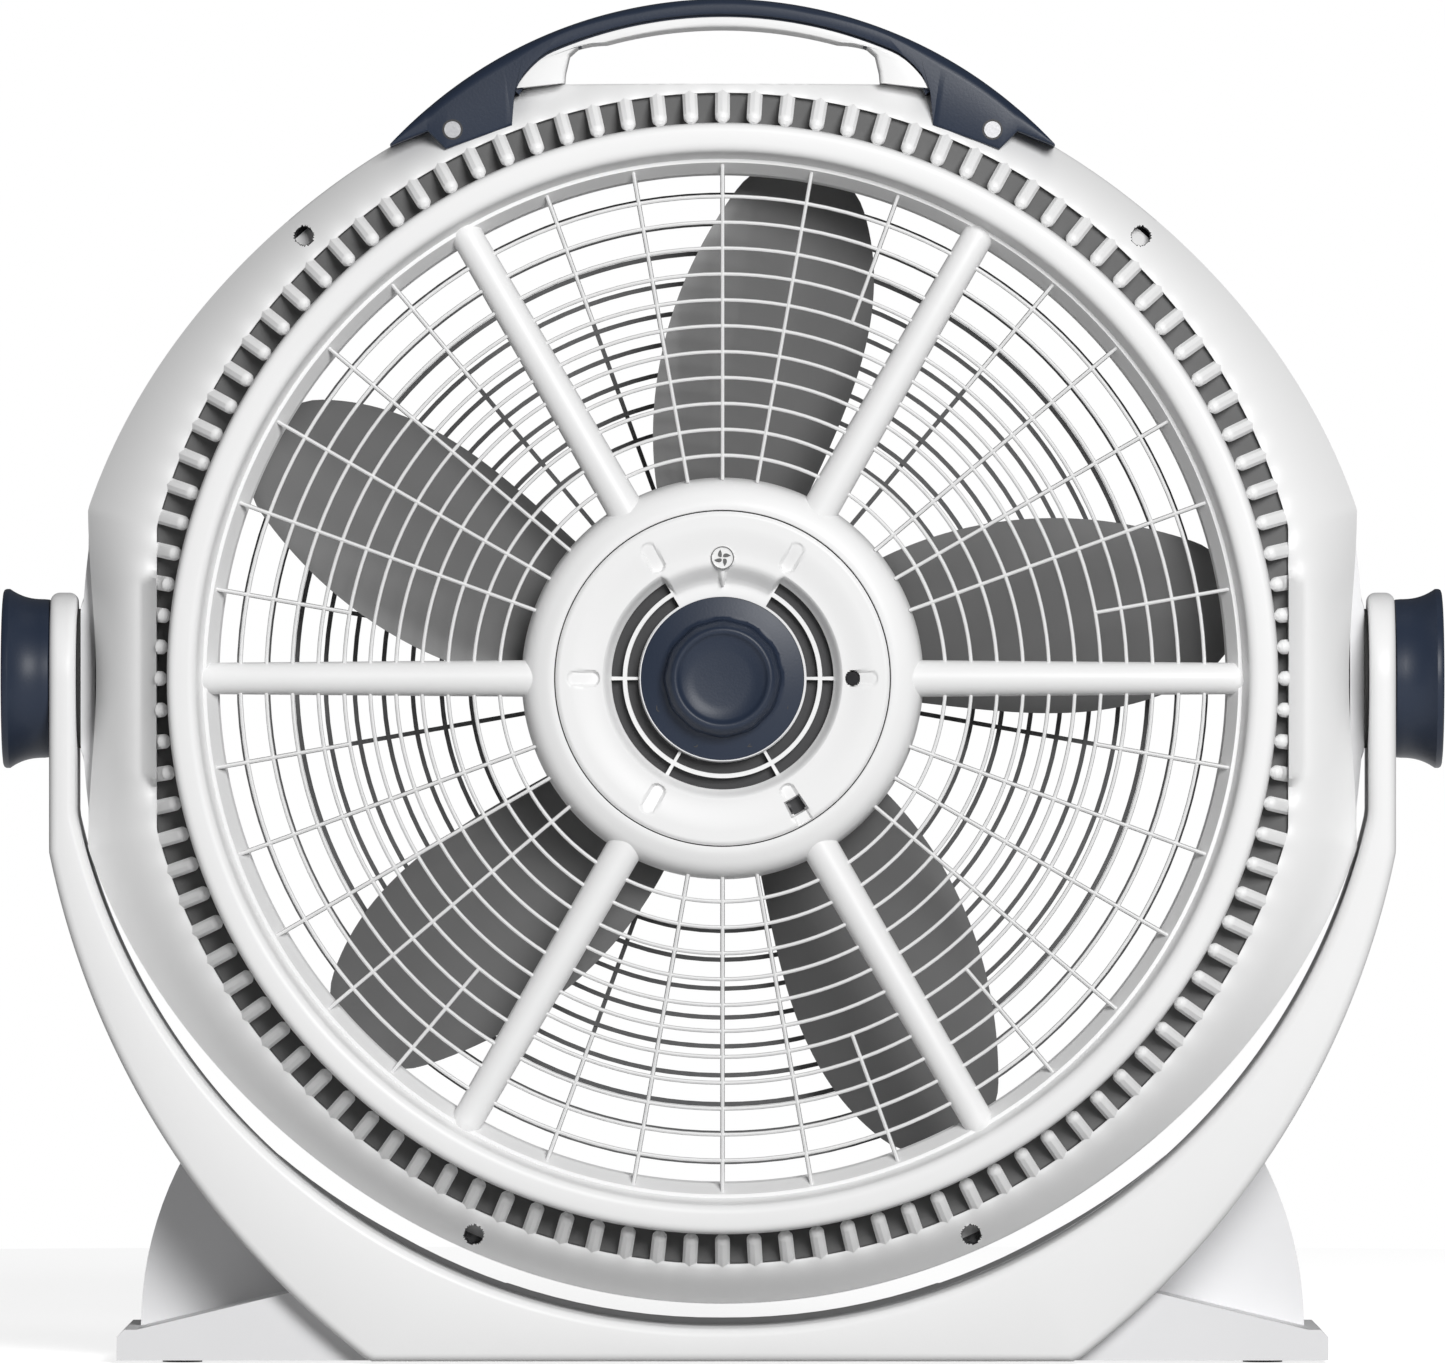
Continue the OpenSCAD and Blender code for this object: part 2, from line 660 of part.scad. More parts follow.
// Outline of one blade seen from the front, as radius and clockwise angle
blade_edge = [[cup_r - 1, -20], [110, -15], [150, -7], [180, -1], [tip_r + 3, 3],
    [tip_r + 3, 15.5], [180, 20], [150, 24], [110, 25], [cup_r - 1, 25]];
blade_z = (motor_back_z + motor_z) / 2 - 8;

module fan_blade() color([0.56, 0.57, 0.58]) face() difference() {
    union() {
        turned([[shaft_r, cup_back_z], [cup_r - 6, cup_back_z], [cup_r, cup_back_z + 6],
            [cup_r, motor_z - 10],
            [cup_r - 2.4, motor_z - 10], [cup_r - 2.4, cup_back_z + 7], [cup_r - 7, cup_back_z + 2.6],
            [11, cup_back_z + 2.6], [11, cup_back_z + 14], [shaft_r, cup_back_z + 14]]);
        intersection() {
            tube(tip_r, cup_r - 1, -back_d, front_d);
            for (i = [0 : blades - 1]) rotate([0, 0, -360 / blades * i]) intersection() {
                translate([0, 0, -back_d]) linear_extrude(back_d + front_d)
                    polygon([for (p = blade_edge) [p[0] * sin(p[1]), p[0] * cos(p[1])]]);
                rotate([0, 0, -7]) translate([0, 0, blade_z]) rotate([0, blade_pitch, 0])
                    block([-80, 80], [cup_r - 10, tip_r + 10], [-blade_t / 2, blade_t / 2]);
            }
        }
    }
}

module blade_washer() color("silver") face() tube(9, shaft_r + 0.02, cup_back_z - 1, cup_back_z);

module blade_nut() color("silver") face() translate([0, 0, cup_back_z - 5]) difference() {
    cylinder(r = 7.5, h = 4, $fn = 6);
    translate([0, 0, -1]) cylinder(r = shaft_r, h = 6);
}

module speed_knob() color([0.23, 0.27, 0.36]) face() {
    low = shelf_z + 0.6;
    turned([[switch_r, dial_z - 5.5], [switch_r, low + 2], [switch_r + 3.4, low + 2],
        [switch_r + 3.4, dial_z - 6.5],
        [dial_r - 4, dial_z - 6.5], [dial_r - 2, low + 1.4], [skirt_r - 2, low + 1.4],
            [skirt_r - 2, low],
        [skirt_r, low], [skirt_r, low + 2.4], [skirt_r - 1.2, low + 3.2], [dial_r + 1.5, low + 3.4],
        [dial_r, dial_z - 6], [dial_r - 1.4, dial_z - 1], [dial_r - 3, dial_z],
            [dial_r - 4.8, dial_z - 0.6],
        [dial_r - 6.2, dial_z - 2], [0, dial_z - 2.6], [0, dial_z - 5.5]]);
}

module switch_shaft() color("silver") face() disc(switch_r, plate_z + 5, dial_z - 5.5);

module knob_clip() color("silver") face() tube(switch_r + 4.2, switch_r + 3.4, shelf_z + 4,
    shelf_z + 8);

// Side knobs: revolved about the pivot axis, outwards
module side_knob(s) color([0.23, 0.27, 0.36]) face() rotate([0, s * 90, 0]) {
    x0 = arm_out_x + washer_t;
    x1 = arm_out_x + knob_w;
    turned([[bolt_r, x0], [knob_neck_r - 1, x0], [knob_neck_r, x0 + 1], [knob_neck_r + 0.8, x0 + 6],
        [knob_r - 0.6, x1 - 6], [knob_r, x1 - 4], [knob_r - 1.2, x1 - 1.4], [knob_r - 4, x1 - 0.5],
        [14, x1], [0, x1], [0, x1 - 3], [bolt_r, x1 - 3]]);
}
module left_knob() side_knob(-1);
module right_knob() side_knob(1);

module clamp_bolt(s) color("silver") face() rotate([0, s * 90, 0])
    disc(bolt_r, nut_x - nut_t / 2 - 4, arm_out_x + knob_w - 3);
module left_clamp_bolt() clamp_bolt(-1);
module right_clamp_bolt() clamp_bolt(1);

module washer(s) color([0.3, 0.3, 0.32]) face() rotate([0, s * 90, 0])
    tube(knob_neck_r - 4, bolt_r + 0.1, arm_out_x, arm_out_x + washer_t);
module left_washer() washer(-1);
module right_washer() washer(1);

// Stand outlines, in the plane of the face, measured from the pivot
module yoke_outer(grow = 0) {
    intersection() {
        intersection_for (s = [-1, 1]) translate([-s * yoke_out_x, yoke_out_z])
            circle(r = yoke_out_r + grow, $fn = 360);
        translate([-arm_out_x - grow, -pivot_h + pad_out]) square([2 * (arm_out_x + grow),
            pivot_h - pad_out + arm_d]);
    }
}

module yoke_inner(grow = 0) {
    half = arm_in_x - grow;
    intersection() {
        for (s = [-1, 1]) translate([s * yoke_in_x, yoke_in_z]) circle(r = yoke_in_r - grow, $fn = 360);
        translate([-half, -pivot_h]) square([2 * half, 2 * pivot_h]);
    }
    translate([-half, 0]) square([2 * half, pivot_h]);
}

module yoke_cavity() {
    difference() {
        intersection() {
            yoke_outer(-stand_wall);
            translate([-arm_out_x, -pivot_h + pad_out + stand_wall]) square([2 * arm_out_x,
                pivot_h - 100]);
        }
        yoke_inner(-stand_wall);
    }
}

module yoke() color([0.94, 0.94, 0.94]) face() {
    z0 = pivot_y - arm_back;
    difference() {
        intersection() {
            translate([0, 0, z0]) linear_extrude(arm_d) difference() {
                yoke_outer();
                yoke_inner();
            }
            union() {
                rotate([0, 90, 0]) disc(arm_d / 2, -arm_out_x - 1, arm_out_x + 1);
                block([-arm_out_x - 1, arm_out_x + 1], [-pivot_h, 0], [z0 - 1, z0 + arm_d + 1]);
            }
        }
        translate([0, 0, z0 - 1]) linear_extrude(arm_d - stand_wall + 1) yoke_cavity();
        for (s = [-1, 1]) rotate([0, s * 90, 0]) disc(bolt_r + bolt_gap, arm_in_x - 5, arm_out_x + 5);
    }
    for (x = stand_screw_x) stand_boss(x, z0, z0 + arm_d - 1);
}

function boss_y(x) = (x * x > 100 * 100) ? -pivot_h + 38 : -pivot_h + 16;

module stand_boss(x, z_back, z_front) {
    intersection() {
        translate([x, boss_y(x), 0]) tube(5, screw_r, z_back, z_front);
        translate([0, 0, z_back]) linear_extrude(z_front - z_back) difference() {
            yoke_outer(-0.5);
            yoke_inner(-0.5);
        }
    }
}

// Rear of the stand: wings, rear wall and the foot
module back_outline(inset = 0) {
    wing_r = 145.3;
    wing_x = foot_half - 8.2 - wing_r;
    difference() {
        intersection() {
            union() {
                for (s = [-1, 1]) translate([s * wing_x, -pivot_h + 12.8])
                    circle(r = wing_r - inset, $fn = 240);
                translate([-wing_x, -pivot_h]) square([2 * wing_x, 60]);
            }
            translate([-foot_half, -pivot_h + pad_out + inset]) square([2 * foot_half, wing_h]);
        }
        yoke_inner(-inset);
    }
}

// Everything under the roof that slopes down to the rear, with the walls drawn in by the inset
module under_roof(inset = 0) {
    z_front = arm_back - pivot_y;
    z_rear = back_end - pivot_y;
    top = -pivot_h + wing_h + pad_out - inset;
    translate([-foot_half, 0, 0]) rotate([0, 90, 0]) linear_extrude(2 * foot_half)
        polygon([[z_front - 1, -pivot_h - 1], [z_front - 1, top], [z_front, top],
            [z_rear - inset, top - roof_drop], [z_rear - inset, -pivot_h - 1]]);
}

module foot_outline() {
    z0 = -pivot_h + pad_out;
    tip = -pivot_h + foot_h;
    difference() {
        polygon([[-foot_half, z0], [foot_half, z0], [foot_half, tip - 3], [foot_half - 3, tip],
            [foot_half - 8, tip],
            [foot_half - 70, tip + 15], [-foot_half + 70, tip + 15], [-foot_half + 8, tip],
                [-foot_half + 3, tip],
            [-foot_half, tip - 3]]);
        yoke_inner();
    }
}

// Hollow of the rear moulding: it opens into the yoke, and a front wall closes the wings beside it
module back_cavity(z_back, z_front) {
    intersection() {
        union() {
            translate([0, 0, z_back]) linear_extrude(z_front - z_back - stand_wall) back_outline(stand_wall);
            translate([0, 0, z_back]) linear_extrude(z_front - z_back + 1) intersection() {
                back_outline(stand_wall);
                yoke_outer(-stand_wall);
            }
        }
        under_roof(stand_wall);
    }
}

module stand_back() color([0.9, 0.9, 0.91]) face() {
    back_z = pivot_y - back_end;
    joint_z = pivot_y - arm_back;
    difference() {
        union() {
            difference() {
                union() {
                    intersection() {
                        translate([0, 0, back_z]) linear_extrude(back_end - arm_back) back_outline();
                        under_roof();
                    }
                    translate([0, 0, pivot_y - foot_back]) linear_extrude(foot_back - foot_front) foot_outline();
                }
                translate([0, 0, joint_z]) linear_extrude(arm_d + 1) yoke_outer(seat_gap);
                back_cavity(back_z, joint_z);
            }
            for (x = stand_screw_x) translate([x, boss_y(x), 0]) intersection() {
                tube(6, screw_r + 0.3, back_z + 1, joint_z);
                translate([-x, -boss_y(x), back_z]) linear_extrude(back_end - arm_back) back_outline(0.5);
            }
        }
        for (x = stand_screw_x) translate([x, boss_y(x), 0]) {
            disc(screw_r + 0.3, back_z - 5, joint_z + 1);
            disc(head_r + 0.4, back_z - 15, back_z + 2);
        }
        for (x = [-pad_x, pad_x], y = pad_y) translate([x, -pivot_h, pivot_y - y]) rotate([-90, 0, 0])
            translate([0, 0, -1]) cylinder(r = pad_r + seat_gap, h = pad_t + 1);
    }
}

module stand_screws() color([0.2, 0.2, 0.2]) face() {
    back_z = pivot_y - back_end;
    joint_z = pivot_y - arm_back;
    for (x = stand_screw_x) translate([x, boss_y(x), 0]) {
        disc(screw_r, back_z + 2, joint_z + 14);
        disc(head_r, back_z, back_z + 2);
    }
}

module rubber_feet() color([0.15, 0.15, 0.15]) for (x = [-pad_x, pad_x], y = pad_y) translate([x, y, 0])
    cylinder(r = pad_r, h = pad_t);

yoke();
stand_back();
stand_screws();
rubber_feet();
left_knob();
left_clamp_bolt();
left_washer();
right_knob();
right_clamp_bolt();
right_washer();
front_shroud();
front_guard();
hub_panel();
panel_screw();
rear_housing();
rear_grille();
grille_screws();
left_pivot_nut();
right_pivot_nut();
left_friction_disc();
right_friction_disc();
handle_cover();
handle_grip();
handle_screws();
housing_screws();
motor_front_bell();
motor_rear_bell();
stator_core();
stator_windings();
motor_bolts();
motor_nuts();
front_bearing();
rear_bearing();
capacitor();
rotary_switch();
switch_nut();
motor_leads();
lead_grommet();
cord_gland();
motor_shaft();
rotor_core();
fan_blade();
blade_washer();
blade_nut();
thrust_washers();
speed_knob();
switch_shaft();
knob_clip();
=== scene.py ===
import json

import bmesh
import bpy
import numpy as np
from bpy.props import FloatProperty, FloatVectorProperty, IntProperty, PointerProperty
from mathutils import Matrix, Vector


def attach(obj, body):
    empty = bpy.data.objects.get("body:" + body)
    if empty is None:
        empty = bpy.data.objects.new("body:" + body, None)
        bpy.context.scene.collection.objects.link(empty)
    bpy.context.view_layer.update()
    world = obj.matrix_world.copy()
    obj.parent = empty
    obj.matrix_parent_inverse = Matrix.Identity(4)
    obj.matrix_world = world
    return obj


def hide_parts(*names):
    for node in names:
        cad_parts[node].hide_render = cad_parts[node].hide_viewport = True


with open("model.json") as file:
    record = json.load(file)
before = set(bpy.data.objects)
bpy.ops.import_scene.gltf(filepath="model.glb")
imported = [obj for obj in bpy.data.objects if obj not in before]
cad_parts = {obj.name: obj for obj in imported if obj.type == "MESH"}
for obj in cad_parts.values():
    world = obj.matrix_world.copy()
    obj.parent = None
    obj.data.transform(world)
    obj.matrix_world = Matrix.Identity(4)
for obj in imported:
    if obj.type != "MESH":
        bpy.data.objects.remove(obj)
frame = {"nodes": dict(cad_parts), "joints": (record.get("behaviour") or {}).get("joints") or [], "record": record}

bl_info = {
    "name": "Tilting Floor Fan",
    "version": (1, 0, 0),
    "blender": (4, 5, 0),
    "location": "3D View > Sidebar > Floor Fan",
    "description": "Builds the moulded pieces of a round floor fan around its packed frame",
    "category": "Object",
}

# the head's pivot, in millimetres; sizes inside the operators are millimetres from it
PIVOT = [c * 1000 for c in next(j["pos_m"] for j in frame["joints"] if j["name"] == "head_tilt")]
# half the width of the flat seat for the hand, which both mouldings of the head share
SEAT_HALF = 81.0
# sine of the angle from twelve o'clock beyond which a place counts as one of the flattened sides
SIDE_SINE = 0.7
# heights of the ring's rim and of the vent groove's outer edge, and the radius of that edge
RIM_Z, GROOVE_Z, GROOVE_R = 18.0, 38.5, 234.4


# ---------------------------------------------------------------- places and shells

def face(x, y, z):
    """Points in metres from millimetres right of, above and in front of the pivot."""
    x, y, z = np.broadcast_arrays(x, y, z)
    return np.stack([x, PIVOT[1] - z, PIVOT[2] + y], axis=-1) / 1000


def clock(r, a, z):
    """Points at radius r and a degrees clockwise from twelve o'clock, z in front of the pivot."""
    a = np.radians(a)
    return face(r * np.sin(a), r * np.cos(a), z)


def ease(x):
    """Smooth step from 0 to 1: 3x^2 - 2x^3 with x held between 0 and 1."""
    x = np.clip(x, 0, 1)
    return x * x * (3 - 2 * x)


def loft(points, ring=True, loop=True, look=0):
    """Skin over a grid of sections: ring joins the last section to the first, loop closes each section.

    Sections that aren't joined end in flat caps. The shell is turned so that its volume is positive.
    """
    n, m = points.shape[:2]
    u = np.arange(n if ring else n - 1)[:, None]
    v = np.arange(m if loop else m - 1)[None, :]
    corners = [u * m + v, (u + 1) % n * m + v, (u + 1) % n * m + (v + 1) % m, u * m + (v + 1) % m]
    quads = np.stack(np.broadcast_arrays(*corners), -1).reshape(-1, 4)
    caps = [] if ring else [list(range(m))[::-1], list(range((n - 1) * m, n * m))]
    verts = points.reshape(-1, 3)
    a, b, c, d = (verts[quads[:, k]] for k in range(4))
    volume = np.einsum("ij,ij->", a, np.cross(b, c)) + np.einsum("ij,ij->", a, np.cross(c, d))
    for cap in caps:
        p = verts[cap]
        volume += np.einsum("ij,ij->", np.broadcast_to(p[0], p[1:-1].shape), np.cross(p[1:-1], p[2:]))
    if volume < 0:
        quads, caps = quads[:, ::-1], [cap[::-1] for cap in caps]
    looks = np.full(len(quads) + len(caps), look) if np.isscalar(look) else look.reshape(-1)
    return verts, quads, caps, looks


def copies(sections):
    """Many open shells of one kind: an array of kinds x sections x points, joined without any caps."""
    parts = [loft(s, ring=False) for s in sections]
    return [(v, q, [], np.zeros(len(q), int)) for v, q, _, _ in parts]


def turned(profile, steps=180, look=0):
    """Surface of revolution about the head's axis: profile is (radius, z), closed in itself."""
    profile = np.array(profile, float)
    a = np.linspace(0, 360, steps, endpoint=False)[:, None]
    return loft(clock(profile[None, :, 0], a, profile[None, :, 1]), look=look)


def turned_at(x, y, profile, steps=40, look=0):
    """Small ring or button turned about an axis that runs forwards through x, y: profile is (radius, z)."""
    profile = np.array(profile, float)
    a = np.linspace(0, 2 * np.pi, steps, endpoint=False)[:, None]
    r, z = profile[:, 0], profile[:, 1]
    return loft(face(x + r * np.sin(a), y + r * np.cos(a), z + 0 * a), look=look)


def side_turned(profile, side, steps):
    """Surface of revolution about the pivot's axis: profile is (distance outwards, radius)."""
    profile = np.array(profile, float)
    a = np.linspace(0, 2 * np.pi, steps, endpoint=False)[:, None]
    x = side * profile[None, :, 0] + 0 * a
    return loft(face(x, profile[None, :, 1] * np.cos(a), profile[None, :, 1] * np.sin(a)), loop=False)


def smooth_profile(points, spread=3, steps=4):
    """Closed profile with each corner rounded by a short quadratic arc that starts spread away from it."""
    p = np.array(points, float)
    before, after = np.roll(p, 1, 0) - p, np.roll(p, -1, 0) - p
    lb, la = (np.linalg.norm(q, axis=1, keepdims=True) for q in (before, after))
    reach = np.broadcast_to(np.reshape(spread, (-1, 1)), lb.shape)
    start = p + before / lb * np.minimum(reach, lb * 0.48)
    end = p + after / la * np.minimum(reach, la * 0.48)
    t = np.linspace(0, 1, steps)[None, :, None]
    arc = (1 - t) ** 2 * start[:, None] + 2 * t * (1 - t) * p[:, None] + t ** 2 * end[:, None]
    return arc.reshape(-1, 2)


def seated(x, y, top):
    """Heights with everything above the flat seat for the hand brought down to it."""
    return np.where((np.abs(x) < SEAT_HALF) & (y > top), top, y)


def ray_to_side(distance, sin):
    """Radius at which a ray of the given sine meets the upright line at that distance to the side."""
    return distance / np.maximum(sin, 0.2)


def between(inner, outer, half_depth, mid_depth, edge_in, edge_out):
    """Band lofted from an inner to an outer line: each section is a rounded rectangle between the two lines.

    The four corners of a section are quarter circles of the inner or the outer edge radius, run through in
    turn: outer front, inner front, inner back, outer back.
    """
    gap = np.linalg.norm(outer - inner, axis=1)[:, None]
    t = np.linspace(0, np.pi / 2, 6)
    share, depth = [], []
    for outside, quarter, sign in ((1, 0, 1), (0, 1, 1), (0, 2, -1), (1, 3, -1)):
        edge = np.minimum(edge_out if outside else edge_in, gap * 0.48)
        turn = t + quarter * np.pi / 2
        centre = gap - edge if outside else edge
        share.append((centre + edge * np.cos(turn)) / gap)
        depth.append(sign * (half_depth - edge) + edge * np.sin(turn))
    share, depth = np.concatenate(share, axis=1), np.concatenate(depth, axis=1)
    flat = inner[:, None] + (outer - inner)[:, None] * share[..., None]
    return loft(face(flat[..., 0], flat[..., 1], mid_depth + depth), ring=False)


def along(points, count):
    """Evenly spaced points on a line through the given corners, all corners kept, and their share of it."""
    p = np.array(points, float)
    run = np.concatenate([[0], np.cumsum(np.linalg.norm(np.diff(p, axis=0), axis=1))])
    t = np.unique(np.concatenate([np.linspace(0, run[-1], count), run]))
    return np.stack([np.interp(t, run, p[:, k]) for k in (0, 1)], 1), t / run[-1]


def both_halves(half):
    """A line drawn for the right half, from its foot to the middle, run on through its mirror image."""
    return np.concatenate([half, (half * [-1, 1])[::-1][1:]])


def piece(name, shells, finishes, body, nodes, crease):
    """One object from several shells, at the origin, riding on its body in place of CAD nodes.

    Faces that meet at more than crease degrees keep a sharp edge.
    """
    verts, faces, looks, start = [], [], [], 0
    for v, quads, caps, look in shells:
        verts.append(v)
        faces += (quads + start).tolist() + [[i + start for i in cap] for cap in caps]
        looks.append(look)
        start += len(v)
    mesh = bpy.data.meshes.new(name)
    mesh.from_pydata(np.concatenate(verts), [], faces)
    mesh.polygons.foreach_set("material_index", np.concatenate(looks).astype(np.int32))
    work = bmesh.new()
    work.from_mesh(mesh)
    bmesh.ops.remove_doubles(work, verts=work.verts, dist=2e-7)
    bmesh.ops.dissolve_degenerate(work, edges=work.edges, dist=1e-7)
    work.to_mesh(mesh)
    work.free()
    mesh.validate()
    mesh.shade_smooth()
    mesh.set_sharp_from_angle(angle=np.radians(crease))
    for finish in finishes:
        mesh.materials.append(material(finish))
    made = bpy.data.objects.new(name, mesh)
    bpy.context.scene.collection.objects.link(made)
    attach(made, body)
    if nodes:
        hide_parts(*nodes)
    return made


# ---------------------------------------------------------------- finishes

def group_nodes(name, inputs, outputs):
    """Empty shader group with the named inputs and outputs, and its two end nodes."""
    tree = bpy.data.node_groups.new(name, "ShaderNodeTree")
    for label, kind, value in inputs:
        tree.interface.new_socket(label, in_out="INPUT", socket_type=kind).default_value = value
    for label, kind in outputs:
        tree.interface.new_socket(label, in_out="OUTPUT", socket_type=kind)
    return tree, tree.nodes.new("NodeGroupInput"), tree.nodes.new("NodeGroupOutput")


def moulded_grain():
    """Fine spark-eroded grain of a mould: two sizes of noise give the height, a third the roughness."""
    name = "Moulded Grain"
    if name in bpy.data.node_groups:
        return bpy.data.node_groups[name]
    tree, given, out = group_nodes(
        name,
        [("Scale", "NodeSocketFloat", 900.0), ("Depth", "NodeSocketFloat", 0.5),
         ("Gloss Low", "NodeSocketFloat", 0.3), ("Gloss High", "NodeSocketFloat", 0.45)],
        [("Height", "NodeSocketFloat"), ("Roughness", "NodeSocketFloat")])
    add, link = tree.nodes.new, tree.links.new
    place = add("ShaderNodeTexCoord")
    fine, wave, patch = add("ShaderNodeTexNoise"), add("ShaderNodeTexNoise"), add("ShaderNodeTexNoise")
    link(given.outputs["Scale"], fine.inputs["Scale"])
    fine.inputs["Detail"].default_value = 2
    wave.inputs["Scale"].default_value = 14
    wave.inputs["Detail"].default_value = 1
    patch.inputs["Scale"].default_value = 9
    patch.inputs["Detail"].default_value = 4
    for noise in (fine, wave, patch):
        link(place.outputs["Object"], noise.inputs["Vector"])
    deep, total, span = add("ShaderNodeMath"), add("ShaderNodeMath"), add("ShaderNodeMapRange")
    deep.operation = "MULTIPLY"
    link(fine.outputs["Fac"], deep.inputs[0])
    link(given.outputs["Depth"], deep.inputs[1])
    total.operation = "ADD"
    link(deep.outputs[0], total.inputs[0])
    link(wave.outputs["Fac"], total.inputs[1])
    link(patch.outputs["Fac"], span.inputs["Value"])
    span.inputs["From Min"].default_value = 0.3
    span.inputs["From Max"].default_value = 0.7
    link(given.outputs["Gloss Low"], span.inputs["To Min"])
    link(given.outputs["Gloss High"], span.inputs["To Max"])
    link(total.outputs[0], out.inputs["Height"])
    link(span.outputs["Result"], out.inputs["Roughness"])
    return tree


def handling_marks():
    """Faint change of tone from handling and dust: broad noise mixes the clean colour with a duller one."""
    name = "Handling Marks"
    if name in bpy.data.node_groups:
        return bpy.data.node_groups[name]
    tree, given, out = group_nodes(
        name,
        [("Colour", "NodeSocketColor", (0.8, 0.8, 0.8, 1)), ("Dulled", "NodeSocketColor", (0.7, 0.7, 0.7, 1)),
         ("Amount", "NodeSocketFloat", 0.3), ("Scale", "NodeSocketFloat", 6.0)],
        [("Colour", "NodeSocketColor"), ("Mask", "NodeSocketFloat")])
    add, link = tree.nodes.new, tree.links.new
    place, cloud, span, mix = (add(k) for k in (
        "ShaderNodeTexCoord", "ShaderNodeTexNoise", "ShaderNodeMapRange", "ShaderNodeMix"))
    link(place.outputs["Object"], cloud.inputs["Vector"])
    link(given.outputs["Scale"], cloud.inputs["Scale"])
    cloud.inputs["Detail"].default_value = 5
    link(cloud.outputs["Fac"], span.inputs["Value"])
    span.inputs["From Min"].default_value = 0.42
    span.inputs["From Max"].default_value = 0.75
    link(given.outputs["Amount"], span.inputs["To Max"])
    mix.data_type = "RGBA"
    link(span.outputs["Result"], mix.inputs[0])
    link(given.outputs["Colour"], mix.inputs[6])
    link(given.outputs["Dulled"], mix.inputs[7])
    link(mix.outputs[2], out.inputs["Colour"])
    link(span.outputs["Result"], out.inputs["Mask"])
    return tree


def brushed_metal():
    """Drawn or turned metal: noise stretched along one way gives streaks of height and roughness."""
    name = "Brushed Metal"
    if name in bpy.data.node_groups:
        return bpy.data.node_groups[name]
    tree, given, out = group_nodes(
        name,
        [("Rough", "NodeSocketFloat", 0.3), ("Streaks", "NodeSocketFloat", 0.15)],
        [("Height", "NodeSocketFloat"), ("Roughness", "NodeSocketFloat")])
    add, link = tree.nodes.new, tree.links.new
    place, turn, streak, span = (add(k) for k in (
        "ShaderNodeTexCoord", "ShaderNodeMapping", "ShaderNodeTexNoise", "ShaderNodeMapRange"))
    turn.inputs["Scale"].default_value = (900, 60, 900)
    streak.inputs["Scale"].default_value = 1
    streak.inputs["Detail"].default_value = 3
    top = add("ShaderNodeMath")
    link(place.outputs["Object"], turn.inputs["Vector"])
    link(turn.outputs["Vector"], streak.inputs["Vector"])
    link(streak.outputs["Fac"], span.inputs["Value"])
    link(given.outputs["Rough"], top.inputs[0])
    link(given.outputs["Streaks"], top.inputs[1])
    link(given.outputs["Rough"], span.inputs["To Min"])
    link(top.outputs[0], span.inputs["To Max"])
    link(streak.outputs["Fac"], out.inputs["Height"])
    link(span.outputs["Result"], out.inputs["Roughness"])
    return tree


# finish: colour or its property, dulled share, low and high roughness, grain scale and depth, bump, coat
PLASTICS = {
    "white_plastic": ("white_colour", 0.93, 0.42, 0.54, 900, 0.5, 0.05, 0.10),
    "rear_plastic": ("rear_colour", 0.92, 0.36, 0.50, 800, 0.6, 0.06, 0.05),
    "navy_plastic": ("navy_colour", 0.86, 0.38, 0.50, 1100, 1.0, 0.10, 0.05),
    "blade_plastic": ("blade_colour", 0.88, 0.36, 0.48, 700, 0.5, 0.06, 0.05),
    "grille_plastic": ("grille_colour", 0.85, 0.40, 0.55, 900, 0.7, 0.08, 0.0),
    # painted shade: this grey closes the vent groove in place of the shaded space behind its slots; it also
    # colours the pointer's symbol
    "vent_plastic": ("vent_colour", 0.90, 0.55, 0.70, 900, 0.7, 0.08, 0.0),
    # black: the real print of the knob's numerals, and painted shade in the holes, wells and gaps of the rebuilt
    # pieces
    "black_plastic": ((0.018, 0.018, 0.02), 0.8, 0.40, 0.55, 900, 0.8, 0.10, 0.0),
    "rubber": ((0.02, 0.02, 0.02), 0.8, 0.70, 0.85, 1300, 1.2, 0.20, 0.0),
    "winding": ((0.36, 0.13, 0.05), 0.7, 0.35, 0.50, 1500, 2.0, 0.35, 0.2),
}
# finish: colour, rough, streaks, bump
METALS = {
    "steel": ((0.36, 0.36, 0.37), 0.28, 0.14, 0.05),
    "dark_steel": ((0.03, 0.03, 0.032), 0.60, 0.15, 0.05),
    "core_steel": ((0.22, 0.22, 0.23), 0.40, 0.20, 0.12),
    "bell_metal": ((0.45, 0.46, 0.47), 0.34, 0.16, 0.06),
    "bronze": ((0.42, 0.27, 0.12), 0.30, 0.15, 0.05),
}


